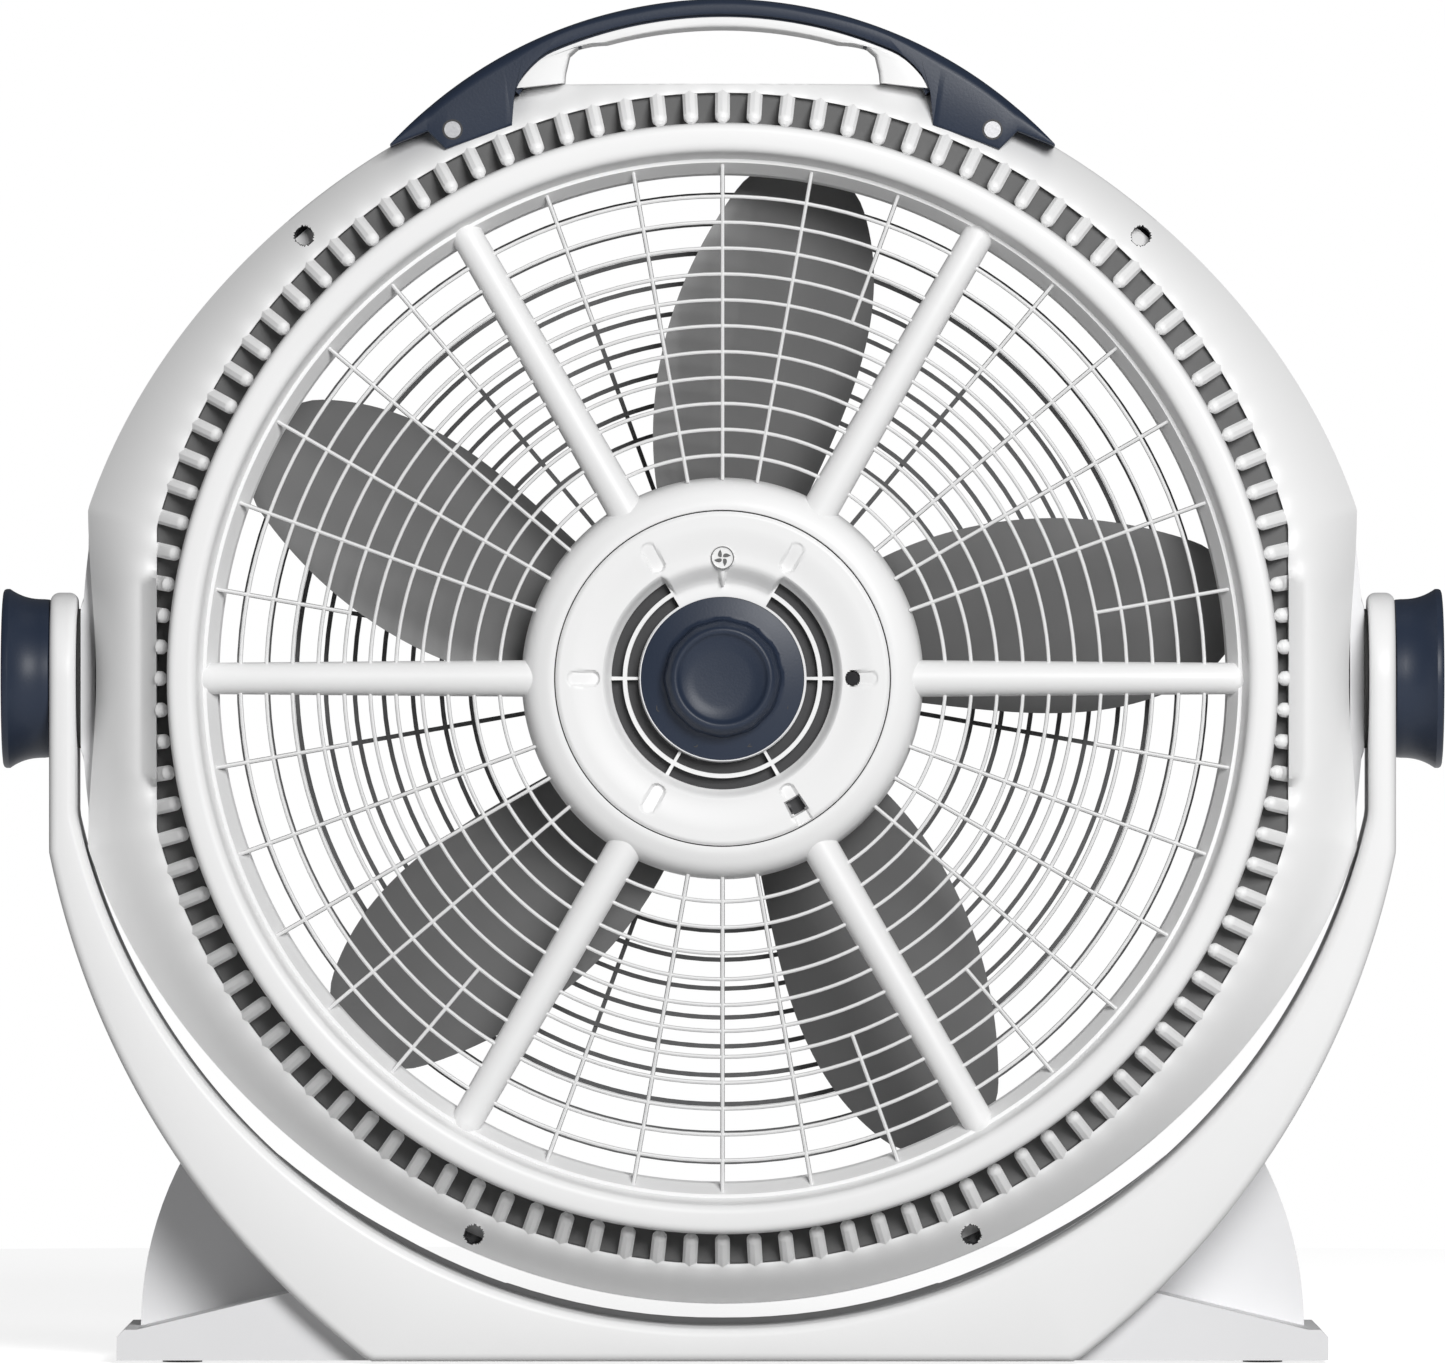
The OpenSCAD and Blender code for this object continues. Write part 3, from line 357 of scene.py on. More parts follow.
def material(finish):
    """Node material of one finish, made the first time it is asked for."""
    name = finish + "_finish"
    if name in bpy.data.materials:
        return bpy.data.materials[name]
    made = bpy.data.materials.new(name)
    made.use_nodes = True
    tree = made.node_tree
    shader = tree.nodes["Principled BSDF"]
    bump = tree.nodes.new("ShaderNodeBump")
    bump.inputs["Distance"].default_value = 0.0004
    surface = tree.nodes.new("ShaderNodeGroup")
    if finish in METALS:
        colour, rough, streaks, depth = METALS[finish]
        surface.node_tree = brushed_metal()
        surface.inputs["Rough"].default_value = rough
        surface.inputs["Streaks"].default_value = streaks
        shader.inputs["Metallic"].default_value = 1.0
        dull = 0.75
    else:
        colour, dull, low, high, scale, grain, depth, coat = PLASTICS[finish]
        if isinstance(colour, str):
            colour = tuple(getattr(bpy.context.scene.fan_finish, colour))
        surface.node_tree = moulded_grain()
        surface.inputs["Scale"].default_value = scale
        surface.inputs["Depth"].default_value = grain
        surface.inputs["Gloss Low"].default_value = low
        surface.inputs["Gloss High"].default_value = high
        shader.inputs["Coat Weight"].default_value = coat
        shader.inputs["Coat Roughness"].default_value = 0.25
        # the navy moulding shines less than the others
        shader.inputs["Specular IOR Level"].default_value = 0.25 if finish == "navy_plastic" else 0.45
    bump.inputs["Strength"].default_value = depth
    marks = tree.nodes.new("ShaderNodeGroup")
    marks.node_tree = handling_marks()
    marks.inputs["Colour"].default_value = (*colour, 1)
    marks.inputs["Dulled"].default_value = (*(c * dull for c in colour), 1)
    marks.inputs["Amount"].default_value = 0.6
    tree.links.new(marks.outputs["Colour"], shader.inputs["Base Color"])
    tree.links.new(surface.outputs["Roughness"], shader.inputs["Roughness"])
    tree.links.new(surface.outputs["Height"], bump.inputs["Height"])
    tree.links.new(bump.outputs["Normal"], shader.inputs["Normal"])
    return made


# ---------------------------------------------------------------- sizes and colours

def length(name, description, default):
    """Size in metres, shown as a length."""
    return FloatProperty(name=name, description=description, default=default,
                         min=0.0, unit="LENGTH", precision=4)


def colour(name, description, default):
    """Linear colour with a colour picker."""
    return FloatVectorProperty(name=name, description=description, default=default,
                               size=3, min=0.0, max=1.0, subtype="COLOR")


class FanHeadSizes(bpy.types.PropertyGroup):
    ring_radius: length("Ring Radius", "Radius of the round housing", 0.2508)
    lip_outer: length("Lip Outer Radius", "Outside of the raised front lip", 0.2215)
    lip_inner: length("Lip Inner Radius", "Inside of the raised front lip", 0.2106)
    throat: length("Throat Radius", "Back edge of the wall inside the lip", 0.2013)
    side_flat: length("Flattened Side", "Distance from the middle to each flattened side", 0.2545)
    top_flat: length("Top Flat", "Height of the flat seat under the handle above the pivot", 0.238)
    rib_count: IntProperty(name="Vent Ribs", description="Number of ribs across the vent groove",
                           default=112, min=12)
    rib_radius: length("Rib Radius", "Radius of one vent rib", 0.0031)
    hub_radius: length("Hub Radius", "Radius of the middle hub", 0.0804)
    panel_radius: length("Panel Radius", "Radius of the control panel in the hub", 0.0668)
    ring_pitch: length("Guard Ring Pitch", "Distance from one guard ring to the next", 0.01035)
    guard_rings: IntProperty(name="Guard Rings", description="Number of thin rings in the guard",
                             default=11, min=1)
    wire: length("Guard Wire", "Width of the thin bars and rings of the guard", 0.0016)


class FanRotorSizes(bpy.types.PropertyGroup):
    blades: IntProperty(name="Blades", description="Number of fan blades", default=5, min=2)
    tip_radius: length("Tip Radius", "Radius of the blade tips", 0.2035)
    cup_radius: length("Cup Radius", "Radius of the cup that carries the blades", 0.074)
    blade_thickness: length("Blade Thickness", "Thickness of a blade at its middle", 0.0024)


class FanStandSizes(bpy.types.PropertyGroup):
    arm_thickness: length("Arm Thickness", "Thickness of an arm of the stand", 0.0106)
    arm_depth: length("Arm Depth", "Depth of an arm from front to back", 0.069)
    knob_radius: length("Side Knob Radius", "Radius of a side knob's outer edge", 0.036)
    edge_radius: length("Edge Radius", "Rounding of the stand's moulded edges", 0.0035)


class FanFinish(bpy.types.PropertyGroup):
    white_colour: colour("White", "Front mouldings and the stand", (0.86, 0.86, 0.86))
    rear_colour: colour("Off-white", "Rear mouldings", (0.80, 0.80, 0.81))
    navy_colour: colour("Navy", "Handle cover and knobs", (0.017, 0.026, 0.048))
    blade_colour: colour("Blade Grey", "Fan blades", (0.17, 0.17, 0.17))
    grille_colour: colour("Grille Grey", "Rear grille", (0.10, 0.10, 0.102))
    # painted shade: the vent groove's floor, standing in for the shade behind its slots; also the pointer's symbol
    vent_colour: colour("Vent Grey", "Floor of the vent groove", (0.11, 0.11, 0.11))


# ---------------------------------------------------------------- front moulding

def ring_height(r, rim):
    """Front surface of the ring: falls from the groove's edge to the rim as a power of the way across."""
    return RIM_Z + (GROOVE_Z - RIM_Z) * (1 - np.clip((r - GROOVE_R) / (rim - GROOVE_R), 0, 1) ** 1.6)


def rim_outline(ring, flat, sin):
    """Radius of the outline: the ring bulged by a power of the sine of its angle, cut by the flat sides."""
    bulged = np.sqrt(ring ** 2 + (flat ** 2 - ring ** 2) * 4.1 * sin ** 5)
    return np.minimum(bulged, ray_to_side(flat, sin))


def vent_ribs(sizes):
    """Ribs that lean across the vent groove: capsules, each a run of round sections with domed ends."""
    count, radius = sizes.rib_count, sizes.rib_radius * 1000
    lip, top = sizes.lip_outer * 1000, sizes.top_flat * 1000
    # place along the dome and the width there, for both ends of the run
    dome = np.array([-1, -0.8, -0.42, 0, 0, 0.42, 0.8, 1.0])
    width = np.array([0.02, 0.6, 0.908, 1, 1, 0.908, 0.6, 0.02]) * radius
    end = np.array([0, 0, 0, 0, 1, 1, 1, 1])
    r0, z0, r1, z1 = lip + 3.4, 45.0, lip + 13.8, 34.5
    run = np.hypot(r1 - r0, z1 - z0)
    ur, uz = (r1 - r0) / run, (z1 - z0) / run
    mid_r, mid_z = r0 + end * (r1 - r0) + dome * radius * ur, z0 + end * (z1 - z0) + dome * radius * uz
    turn = np.linspace(0, 2 * np.pi, 10, endpoint=False)
    at = np.radians(np.arange(count) * 360 / count)[:, None, None]
    # the ribs at the sides end at the facets' straight wall
    wall = ray_to_side(227.4, np.abs(np.sin(at)))
    r = np.minimum(mid_r[:, None] - uz * width[:, None] * np.cos(turn), wall)
    z = mid_z[:, None] + ur * width[:, None] * np.cos(turn)
    across = width[:, None] * np.sin(turn)
    x, y = r * np.sin(at) + across * np.cos(at), r * np.cos(at) - across * np.sin(at)
    return copies(face(x, seated(x, y, top), z + 0 * at))


class FAN_OT_front_shroud(bpy.types.Operator):
    """Build the front ring with its lip, vent groove, ribs, side facets and screw wells"""
    bl_idname = "floor_fan.front_shroud"
    bl_label = "Front Shroud"

    def execute(self, context):
        s = context.scene.fan_head
        ring, lip_out, lip_in = s.ring_radius * 1000, s.lip_outer * 1000, s.lip_inner * 1000
        throat, flat, top = s.throat * 1000, s.side_flat * 1000, s.top_flat * 1000
        lip_z, part_z, columns = 59.5, 10.0, 26
        # angles of the four screw wells, the radius that they lie on, and their size and floor
        wells, well_r, hole_r, well_z = np.array([43.4, 155.9, 204.1, 316.6]), ring - 6.8, 3.9, 20.5
        around_wells = wells[:, None] + np.arange(-1.3, 1.31, 0.1)
        a = np.unique(np.concatenate([np.arange(0, 360, 0.4), around_wells.ravel()]))
        near = np.abs((a[:, None] - wells + 180) % 360 - 180)
        sin, cos = np.abs(np.sin(np.radians(a)))[:, None], np.cos(np.radians(a))[:, None]

        def drawn_in(sin, y):
            # the sides of the rim curve back in towards the pivot
            rim = rim_outline(ring, flat, sin)
            return rim - 0.9 * (flat - ring) * ease(1 - np.abs(y) / 67.5) * (sin > SIDE_SINE)

        rim = drawn_in(sin, cos * flat)
        # the groove's outer wall is round, and straight where the side facets cut it
        groove = np.minimum(GROOVE_R, ray_to_side(226.4, sin))
        r = groove + (rim - groove) * np.linspace(0, 1, columns)[None, :]
        y = r * cos
        # soft flutes that run on from the ribs and fade within a few millimetres
        flutes = np.cos(np.radians(a * s.rib_count))[:, None] * np.exp(-(r - GROOVE_R) / 3.0)
        z = ring_height(r, rim) + 0.5 * flutes
        # side facets: level across, each as high as the ring is where the facet's straight edge crosses it,
        # and swept up to the lip at their inner end; across runs from 0 at their start to 1 at the rim
        across = (r * sin - 233) / 17.7
        edge = 38.7 - 8.2 * np.clip(across, -0.35, 1.3)
        far = np.hypot(r * sin, edge)
        facet = ring_height(far, drawn_in(r * sin / far, edge)) + 7.5 * np.clip(-across * 2.6, 0, 1) ** 1.3
        z = z + (facet - z) * ease((edge - np.abs(y)) / 3.0 + 0.5) * (sin > SIDE_SINE)
        # screw wells: points close to the hole's circle move onto it, and those inside drop to its floor
        wa = wells[np.argmin(near, axis=1)][:, None]
        dx = r * np.sin(np.radians(a[:, None] - wa))
        dr = r * np.cos(np.radians(a[:, None] - wa)) - well_r
        reach = np.hypot(dx, dr)
        snap = (reach > hole_r) & (reach < hole_r + 0.42)
        scale = np.where(snap, hole_r / np.maximum(reach, 1e-6), 1.0)
        dx, dr = dx * scale, dr * scale
        r_new, a_new = np.hypot(dx, well_r + dr), wa + np.degrees(np.arctan2(dx, well_r + dr))
        moved = near.min(axis=1)[:, None] < 4
        r, ang = np.where(moved, r_new, r), np.where(moved, a_new, a[:, None])
        inside = (np.hypot(dx, dr) < hole_r - 0.05) & moved
        z = np.where(inside, well_z, z)
        x_ring, y_ring = r * np.sin(np.radians(ang)), r * np.cos(np.radians(ang))
        upper = face(x_ring, seated(x_ring, y_ring, top), z)

        def band(radius, depth, seat=top):
            # one or more rings of points at a radius and a depth, cut by the seat
            radius, depth = np.broadcast_arrays(radius + 0 * sin, depth)
            x = radius * np.sin(np.radians(a))[:, None]
            return face(x, seated(x, radius * cos, seat), depth)

        lip = smooth_profile([(lip_in - 2, lip_z - 9.5), (lip_in, lip_z), (lip_out, lip_z),
                              (lip_out + 0.7, lip_z - 13)], [1, 3.4, 3.2, 1], 7)[7:-7]
        front = np.concatenate([
            band(np.array([[throat + 2.4, throat, throat, (throat + lip_in - 2) / 2, lip_in - 2]]),
                 np.array([[35.0, 35.0, 35.3, 42.5, 50.0]])),
            band(lip[None, :, 0], lip[None, :, 1]),
            band(np.array([[lip_out + 0.6, lip_out + 0.8, lip_out + 1.0]]), np.array([[46.0, 40.0, 35.5]])),
            band(groove - 0.6, np.array([[35.0]])),
            band(groove - 0.1, np.array([[36.5]])),
        ], axis=1)
        inner_seat = top - 2.4
        back = np.concatenate([
            band(rim, np.array([[part_z + 1.2]])), band(rim - 0.7, np.array([[part_z]])),
            band(rim - 2.5, np.array([[part_z]]), inner_seat),
            band(rim - 2.6, np.array([[RIM_Z - 1.5]]), inner_seat),
            band(groove + 1.5, np.array([[28.5]])), band(np.array([[lip_out - 1.2]]), np.array([[27.5]])),
            band(np.array([[lip_out - 2.4]]), np.array([[lip_z - 5]])),
            band(np.array([[lip_in + 3.0]]), np.array([[lip_z - 5]])),
        ], axis=1)
        grid = np.concatenate([front, upper, back], axis=1)
        # looks: 0 the white moulding, 1 the groove's floor, grey as painted shade behind the vent slots, 2 the
        # inside of a screw well, black as painted shade
        looks = np.zeros(grid.shape[:2], int)
        first, floor_col = front.shape[1], front.shape[1] - 3
        looks[:, floor_col:floor_col + 2] = 1
        # painted shade: the floor and walls inside each screw well are black
        either = inside | np.roll(inside, -1, 0)
        looks[:, first:first + columns - 1][either[:, :-1] | either[:, 1:]] = 2
        piece("front_shroud_moulding", [loft(grid, look=looks)] + vent_ribs(s),
              ["white_plastic", "vent_plastic", "black_plastic"], "head", ["front_shroud"],
              crease=30)
        return {"FINISHED"}


class FAN_OT_front_guard(bpy.types.Operator):
    """Build the guard: six tapered spokes, thin bars and rings, and the domed hub"""
    bl_idname = "floor_fan.front_guard"
    bl_label = "Front Guard"

    def execute(self, context):
        s = context.scene.fan_head
        hub, panel, lip_in = s.hub_radius * 1000, s.panel_radius * 1000, s.lip_inner * 1000
        wire, pitch = s.wire * 500, s.ring_pitch * 1000
        spoke_z, bar_z, ring_z = 44, 45.8, 45.7
        shells = []

        def spread(out, across, up, a):
            # a bar drawn along its own length, turned to point at the angle a
            return loft(face(out * np.sin(a) + across * np.cos(a), out * np.cos(a) - across * np.sin(a), up),
                        ring=False)

        # spokes: round sections whose radius tapers outwards, with rounded ends
        r = np.array([75, 78, 120, 160, lip_in - 6.5, lip_in - 4, lip_in - 2.5, lip_in - 1.6, lip_in - 1.2])
        w = np.interp(r, [75, 210], [7.35, 6.25]) * np.array([1, 1, 1, 1, 1, 0.93, 0.75, 0.45, 0.02])
        turn = np.linspace(0, 2 * np.pi, 32, endpoint=False)
        across, up = w[:, None] * np.sin(turn), spoke_z + w[:, None] * np.cos(turn)
        for a in np.radians(np.arange(6) * 60 + 30):
            shells.append(spread(r[:, None] + 0 * turn, across, up, a))
        # thin bars every ten degrees, with an oval section; the two beside a spoke are short
        turn = np.linspace(0, 2 * np.pi, 8, endpoint=False)
        sway, lift = wire * np.sin(turn), bar_z + 1.4 * np.cos(turn)
        for k in range(36):
            # steps of ten degrees from the middle between two spokes: -3 is a spoke's own place
            step = (k + 3) % 6 - 3
            if step == -3:
                continue
            ends = np.array([hub + 71.2 if abs(step) == 2 else hub - 1, lip_in - 4.6])
            shells.append(spread(ends[:, None] + 0 * turn, sway, lift, np.radians(10 * k)))
        # rings: the same kind of section carried round the axis
        for k in range(s.guard_rings):
            radius = s.throat * 1000 - 8.6 - k * pitch
            section = np.stack([radius + wire * np.sin(turn), ring_z + 1.2 * np.cos(turn)], 1)
            shells.append(turned(section, 144))
        # rim ring that seats in the throat
        shells.append(turned([(lip_in - 6.9, 40.5), (lip_in - 2.9, 48.2), (lip_in - 4.4, 48.4),
                              (lip_in - 8.6, 40.5)], 240))
        # hub: domed shoulder round the panel
        dome = smooth_profile([(hub - 2.4, 18), (hub, 18), (hub, 44), (hub - 3.4, 51.2), (panel + 3.6, 54.0),
                               (panel + 0.45, 54.0), (panel + 0.45, 46), (hub - 6, 45)],
                              [0.8, 0.8, 9, 6, 5, 0.5, 0.5, 1.0], 8)
        shells.append(turned(dome, 240))
        # floor under the panel's edge, black as painted shade inside the parting line
        shells.append(turned([(panel + 0.6, 49.6), (panel + 0.6, 47.5), (panel - 3, 47.5), (panel - 3, 49.6)],
                             240, look=1))
        piece("front_guard_moulding", shells, ["white_plastic", "black_plastic"], "head",
              ["front_guard"], crease=32)
        return {"FINISHED"}


class FAN_OT_hub_panel(bpy.types.Operator):
    """Build the control panel: slots, vents round the knob, sunk shelf and the pointer"""
    bl_idname = "floor_fan.hub_panel"
    bl_label = "Hub Panel"

    def execute(self, context):
        s = context.scene.fan_head
        edge = s.panel_radius * 1000
        shelf_z, ring_z, vent_z, boss_y = 46.6, 52.9, 41.6, 48.2
        # vents: five pairs of arcs, each between two angles and two radii
        gaps = [(31, 89), (91, 149), (151, 209), (211, 269), (271, 329)]
        arcs = [(33.6, 38.1), (39.9, 44.4)]
        # grid: a close pair of rows or columns at each vent edge, and fine rows where the recesses are
        stops = np.array([e + d for g in gaps for e in g for d in (-0.08, 0.08)])
        a = np.unique(np.concatenate([np.arange(0, 360, 0.75), stops]))
        rows = np.concatenate([
            np.linspace(5, 30, 5), [33.55, 33.65], np.linspace(34.5, 37.4, 4),
            [38.05, 38.15, 39.0, 39.85, 39.95], np.linspace(40.5, 43.8, 5), [44.35, 44.45],
            np.linspace(45.0, 48, 7), np.linspace(48.4, 65.2, 58),
            [65.7, 66.0, 66.25, 66.45, 66.6, edge - 0.12, edge - 0.02, edge]])
        A, R = a[:, None], rows[None, :]
        x, y = R * np.sin(np.radians(A)), R * np.cos(np.radians(A))
        off_top = np.abs((A + 180) % 360 - 180)
        # bowl between the sunk shelf and the raised ring, wider and softer under the pointer at the top
        lip0 = 37.0 + 6.9 * ease((off_top - 28.5) / 3)
        width = 9.6 - 5.4 * ease((off_top - 28.5) / 3)
        z = shelf_z + (ring_z - shelf_z) * ease((R - lip0) / width) + 1.0 * ease((R - 49) / 12)
        z = z - 1.3 * np.clip((R - 65.0) / 1.8, 0, 1) ** 2.2

        def turned_to(angle):
            # places measured out along the given angle, and across it
            ca, sa = np.cos(np.radians(angle)), np.sin(np.radians(angle))
            return x * sa + y * ca, x * ca - y * sa

        # six stadium recesses, pointing at the middle, each shallower at its outer end
        for turn in np.arange(6) * 60 + 30:
            out, across = turned_to(turn)
            away = np.hypot(across, np.maximum(np.abs(out - 55.6) - 3.5, 0)) - 2.85
            slope = 1.9 - 1.3 * (out - 49.2) / 12.7
            z = z - np.clip(slope, 0.6, 2.2) * ease(0.5 - away / 0.8)
        # deep round hole of the panel's screw and the square hole beside its channel
        dot = np.hypot(x - 52.0, y) - 2.75
        z = z - 5.5 * ease(0.5 - dot / 0.3)
        out, across = turned_to(150)
        square = np.maximum(np.abs(out - 58.7), np.abs(across)) - 3.3
        channel = np.maximum(np.abs(out - 64.5) - 4.5, np.abs(across) - 3.2)
        z = z - 1.5 * ease(0.5 - channel / 0.5) * (R < edge - 0.5)
        z = z - 6.5 * ease(0.5 - square / 0.3)
        # pointer boss and its tail
        boss = np.hypot(x, y - boss_y)
        half = 4.6 * np.clip((y - 36.8) / 11.4, 0.02, 1)
        tail = 53.2 - 0.28 * (48 - y) - 2.4 * (x / half) ** 2
        z = np.where((y > 37) & (y < 48) & (np.abs(x) < half), np.maximum(z, tail), z)
        z = np.maximum(z, shelf_z + 7.0 * ease((5.4 - boss) / 0.9))
        z = np.where(boss < 4.2, 53.35, z)
        vent = np.zeros_like(z, bool)
        for a0, a1 in gaps:
            for r0, r1 in arcs:
                vent |= (A > a0) & (A < a1) & (R > r0) & (R < r1)
        z = np.where(vent, vent_z, z)
        upper = clock(R, A, z)
        lower = clock(np.array([[edge, edge - 4, edge - 12, 5]]), A, np.array([[49.6, 47.0, 41.0, 41.0]]))
        grid = np.concatenate([upper, lower], axis=1)
        # painted shade: the floors of the vents and of both holes are black
        hole = vent | (dot < -0.1) | (square < -0.1)
        looks = np.zeros(grid.shape[:2], int)
        full = hole[:, :-1] & hole[:, 1:] & np.roll(hole, -1, 0)[:, :-1] & np.roll(hole, -1, 0)[:, 1:]
        looks[:, :hole.shape[1] - 1][full] = 1
        shells = [loft(grid, look=looks)]
        # four small blades on the boss: flattened petals, each swept to one side
        t = np.linspace(0, 1, 9)
        half = 0.85 * np.sin(np.pi * t ** 0.8)
        reach = 0.5 + 2.9 * t
        left_right = np.array([[-1], [1], [1], [-1]])
        for k in range(4):
            mid = np.radians(90 * k + 45) + 0.55 * t ** 1.4
            px = reach * np.sin(mid) + left_right * half * np.cos(mid)
            py = reach * np.cos(mid) - left_right * half * np.sin(mid)
            pz = np.array([[53.2], [53.2], [53.7], [53.7]]) + 0 * t
            shells.append(loft(face(px, py + boss_y, pz).transpose(1, 0, 2), ring=False, look=2))
        shells.append(turned_at(0, boss_y, [(4.6, 53.3), (4.6, 53.75), (4.25, 53.75), (4.25, 53.3)], look=2))
        piece("hub_panel_moulding", shells, ["white_plastic", "black_plastic", "vent_plastic"], "head",
              ["hub_panel"], crease=32)
        return {"FINISHED"}


class FAN_OT_speed_knob(bpy.types.Operator):
    """Build the speed knob with its skirt, dished cap and the numerals of its settings"""
    bl_idname = "floor_fan.speed_knob"
    bl_label = "Speed Knob"

    def execute(self, context):
        skirt, cap = 33.0, 22.8
        a = np.linspace(0, 360, 360, endpoint=False)[:, None]
        # cap: its side is waved by twelve shallow scallops that fade towards the top
        side = smooth_profile([(cap + 3.2, 50.4), (cap + 0.3, 51.6), (cap, 58.6), (cap - 2.4, 62.6),
                               (cap - 4.6, 62.8), (cap - 6.0, 60.9)], [1.5, 1.5, 2.0, 1.6, 1.2, 0.9], 6)[3:-6]
        wave = 0.22 * np.cos(np.radians(a * 12)) * np.clip((62 - side[:, 1]) / 8, 0, 1) * (side[:, 1] > 51)
        inner = np.array([(cap - 6.6, 60.9), (cap - 12, 60.6), (6, 60.45), (0.01, 60.4), (0.01, 57),
                          (cap - 5, 56.5), (cap - 3, 49), (skirt - 2, 48.6), (skirt - 1.9, 47.1),
                          (skirt, 47.1), (skirt, 49.2)])
        base = np.concatenate([side, inner])
        shift = np.concatenate([wave + 0 * a, np.zeros((len(a), len(inner)))], axis=1)
        shells = [loft(clock(base[:, 0] + shift, a, base[:, 1] + 0 * a))]
        # painted highlight: a thin off-white ring round the skirt's edge
        shells.append(turned([(skirt - 0.35, 49.1), (skirt + 0.12, 49.1), (skirt + 0.12, 49.75),
                              (skirt - 0.35, 49.75)], 180, look=1))
        piece("speed_knob_moulding", shells, ["navy_plastic", "rear_plastic"], "dial",
              ["speed_knob"], crease=34)
        # numerals, laid on the skirt
        numeral_r, numeral_z = 28.2, 50.05
        shells = []
        for text, at in (("1", 112.6), ("2", 157.5), ("3", 202.0), ("0", 245.0)):
            letters = bpy.data.curves.new("numeral", "FONT")
            letters.body, letters.size, letters.extrude = text, 4.4, 0.12
            letters.align_x, letters.align_y = "CENTER", "CENTER"
            letters.resolution_u = 3
            flat = bpy.data.objects.new("numeral", letters)
            mesh = bpy.data.meshes.new_from_object(flat)
            spots = np.empty(len(mesh.vertices) * 3)
            mesh.vertices.foreach_get("co", spots)
            spots = spots.reshape(-1, 3)
            faces = [list(p.vertices) for p in mesh.polygons]
            mid = np.radians(at)
            verts = face(numeral_r * np.sin(mid) + spots[:, 0], numeral_r * np.cos(mid) + spots[:, 1],
                         numeral_z + spots[:, 2])
            shells.append((verts, np.empty((0, 4), int), faces, np.zeros(len(faces), int)))
            bpy.data.objects.remove(flat)
            bpy.data.meshes.remove(mesh)
            bpy.data.curves.remove(letters)
        piece("speed_numerals", shells, ["black_plastic"], "dial", [], crease=30)
        return {"FINISHED"}


# ---------------------------------------------------------------- rotor

class FAN_OT_fan_blade(bpy.types.Operator):
    """Build the cup and its swept, twisted blades"""
    bl_idname = "floor_fan.fan_blade"
    bl_label = "Fan Blades"

    def execute(self, context):
        s = context.scene.fan_rotor
        tip, cup, thick = s.tip_radius * 1000, s.cup_radius * 1000, s.blade_thickness * 1000
        # cup: open towards the motor, closed at the back
        cup_profile = smooth_profile([(4.05, -44), (cup - 5, -44), (cup, -38), (cup, 14), (cup - 2.4, 14),
                                      (cup - 2.4, -37), (cup - 7, -41.4), (11, -41.4), (11, -30),
                                      (4.05, -30)], [0.5, 4, 4, 0.8, 0.8, 2, 2, 2, 1, 0.5], 5)
        shells = [turned(cup_profile, 160)]
        # u runs from the hub to the tip, v from the leading to the trailing edge and back underneath
        u = np.linspace(0, 1, 40)[:, None]
        r = (cup - 1.2) + (tip - 0.2 - cup + 1.2) * u
        v = np.concatenate([np.linspace(0, 1, 18), np.linspace(1, 0, 18)])[None, :]
        upper = np.concatenate([np.ones(18), -np.ones(18)])[None, :]
        # angles of the two edges, which round off over the last fiftieth of the blade
        corner = 0.4 * np.exp(-((1 - u) / 0.02) ** 2)
        lead, trail = -20 + 23 * u ** 1.15 + corner, 25 - 9.5 * u ** 3 - corner
        ang = lead + (trail - lead) * v
        # pitch eases from hub to tip, and the section is bowed a little along its chord
        arc = r * np.radians(ang - 7)
        z = -8 - np.tan(np.radians(31 - 6 * u)) * arc + 3.2 * (1 - (2 * v - 1) ** 2) * (1 - 0.3 * u)
        edge = np.sqrt(np.clip(1 - (2 * v - 1) ** 2, 0, 1)) ** 0.6
        z = z + upper * thick / 2 * edge * (1 - 0.35 * u)
        for k in range(s.blades):
            shells.append(loft(clock(r + 0 * v, ang + 360 / s.blades * k, z), ring=False))
        piece("fan_blades", shells, ["blade_plastic"], "rotor", ["fan_blade"], crease=40)
        return {"FINISHED"}


# ---------------------------------------------------------------- rear moulding

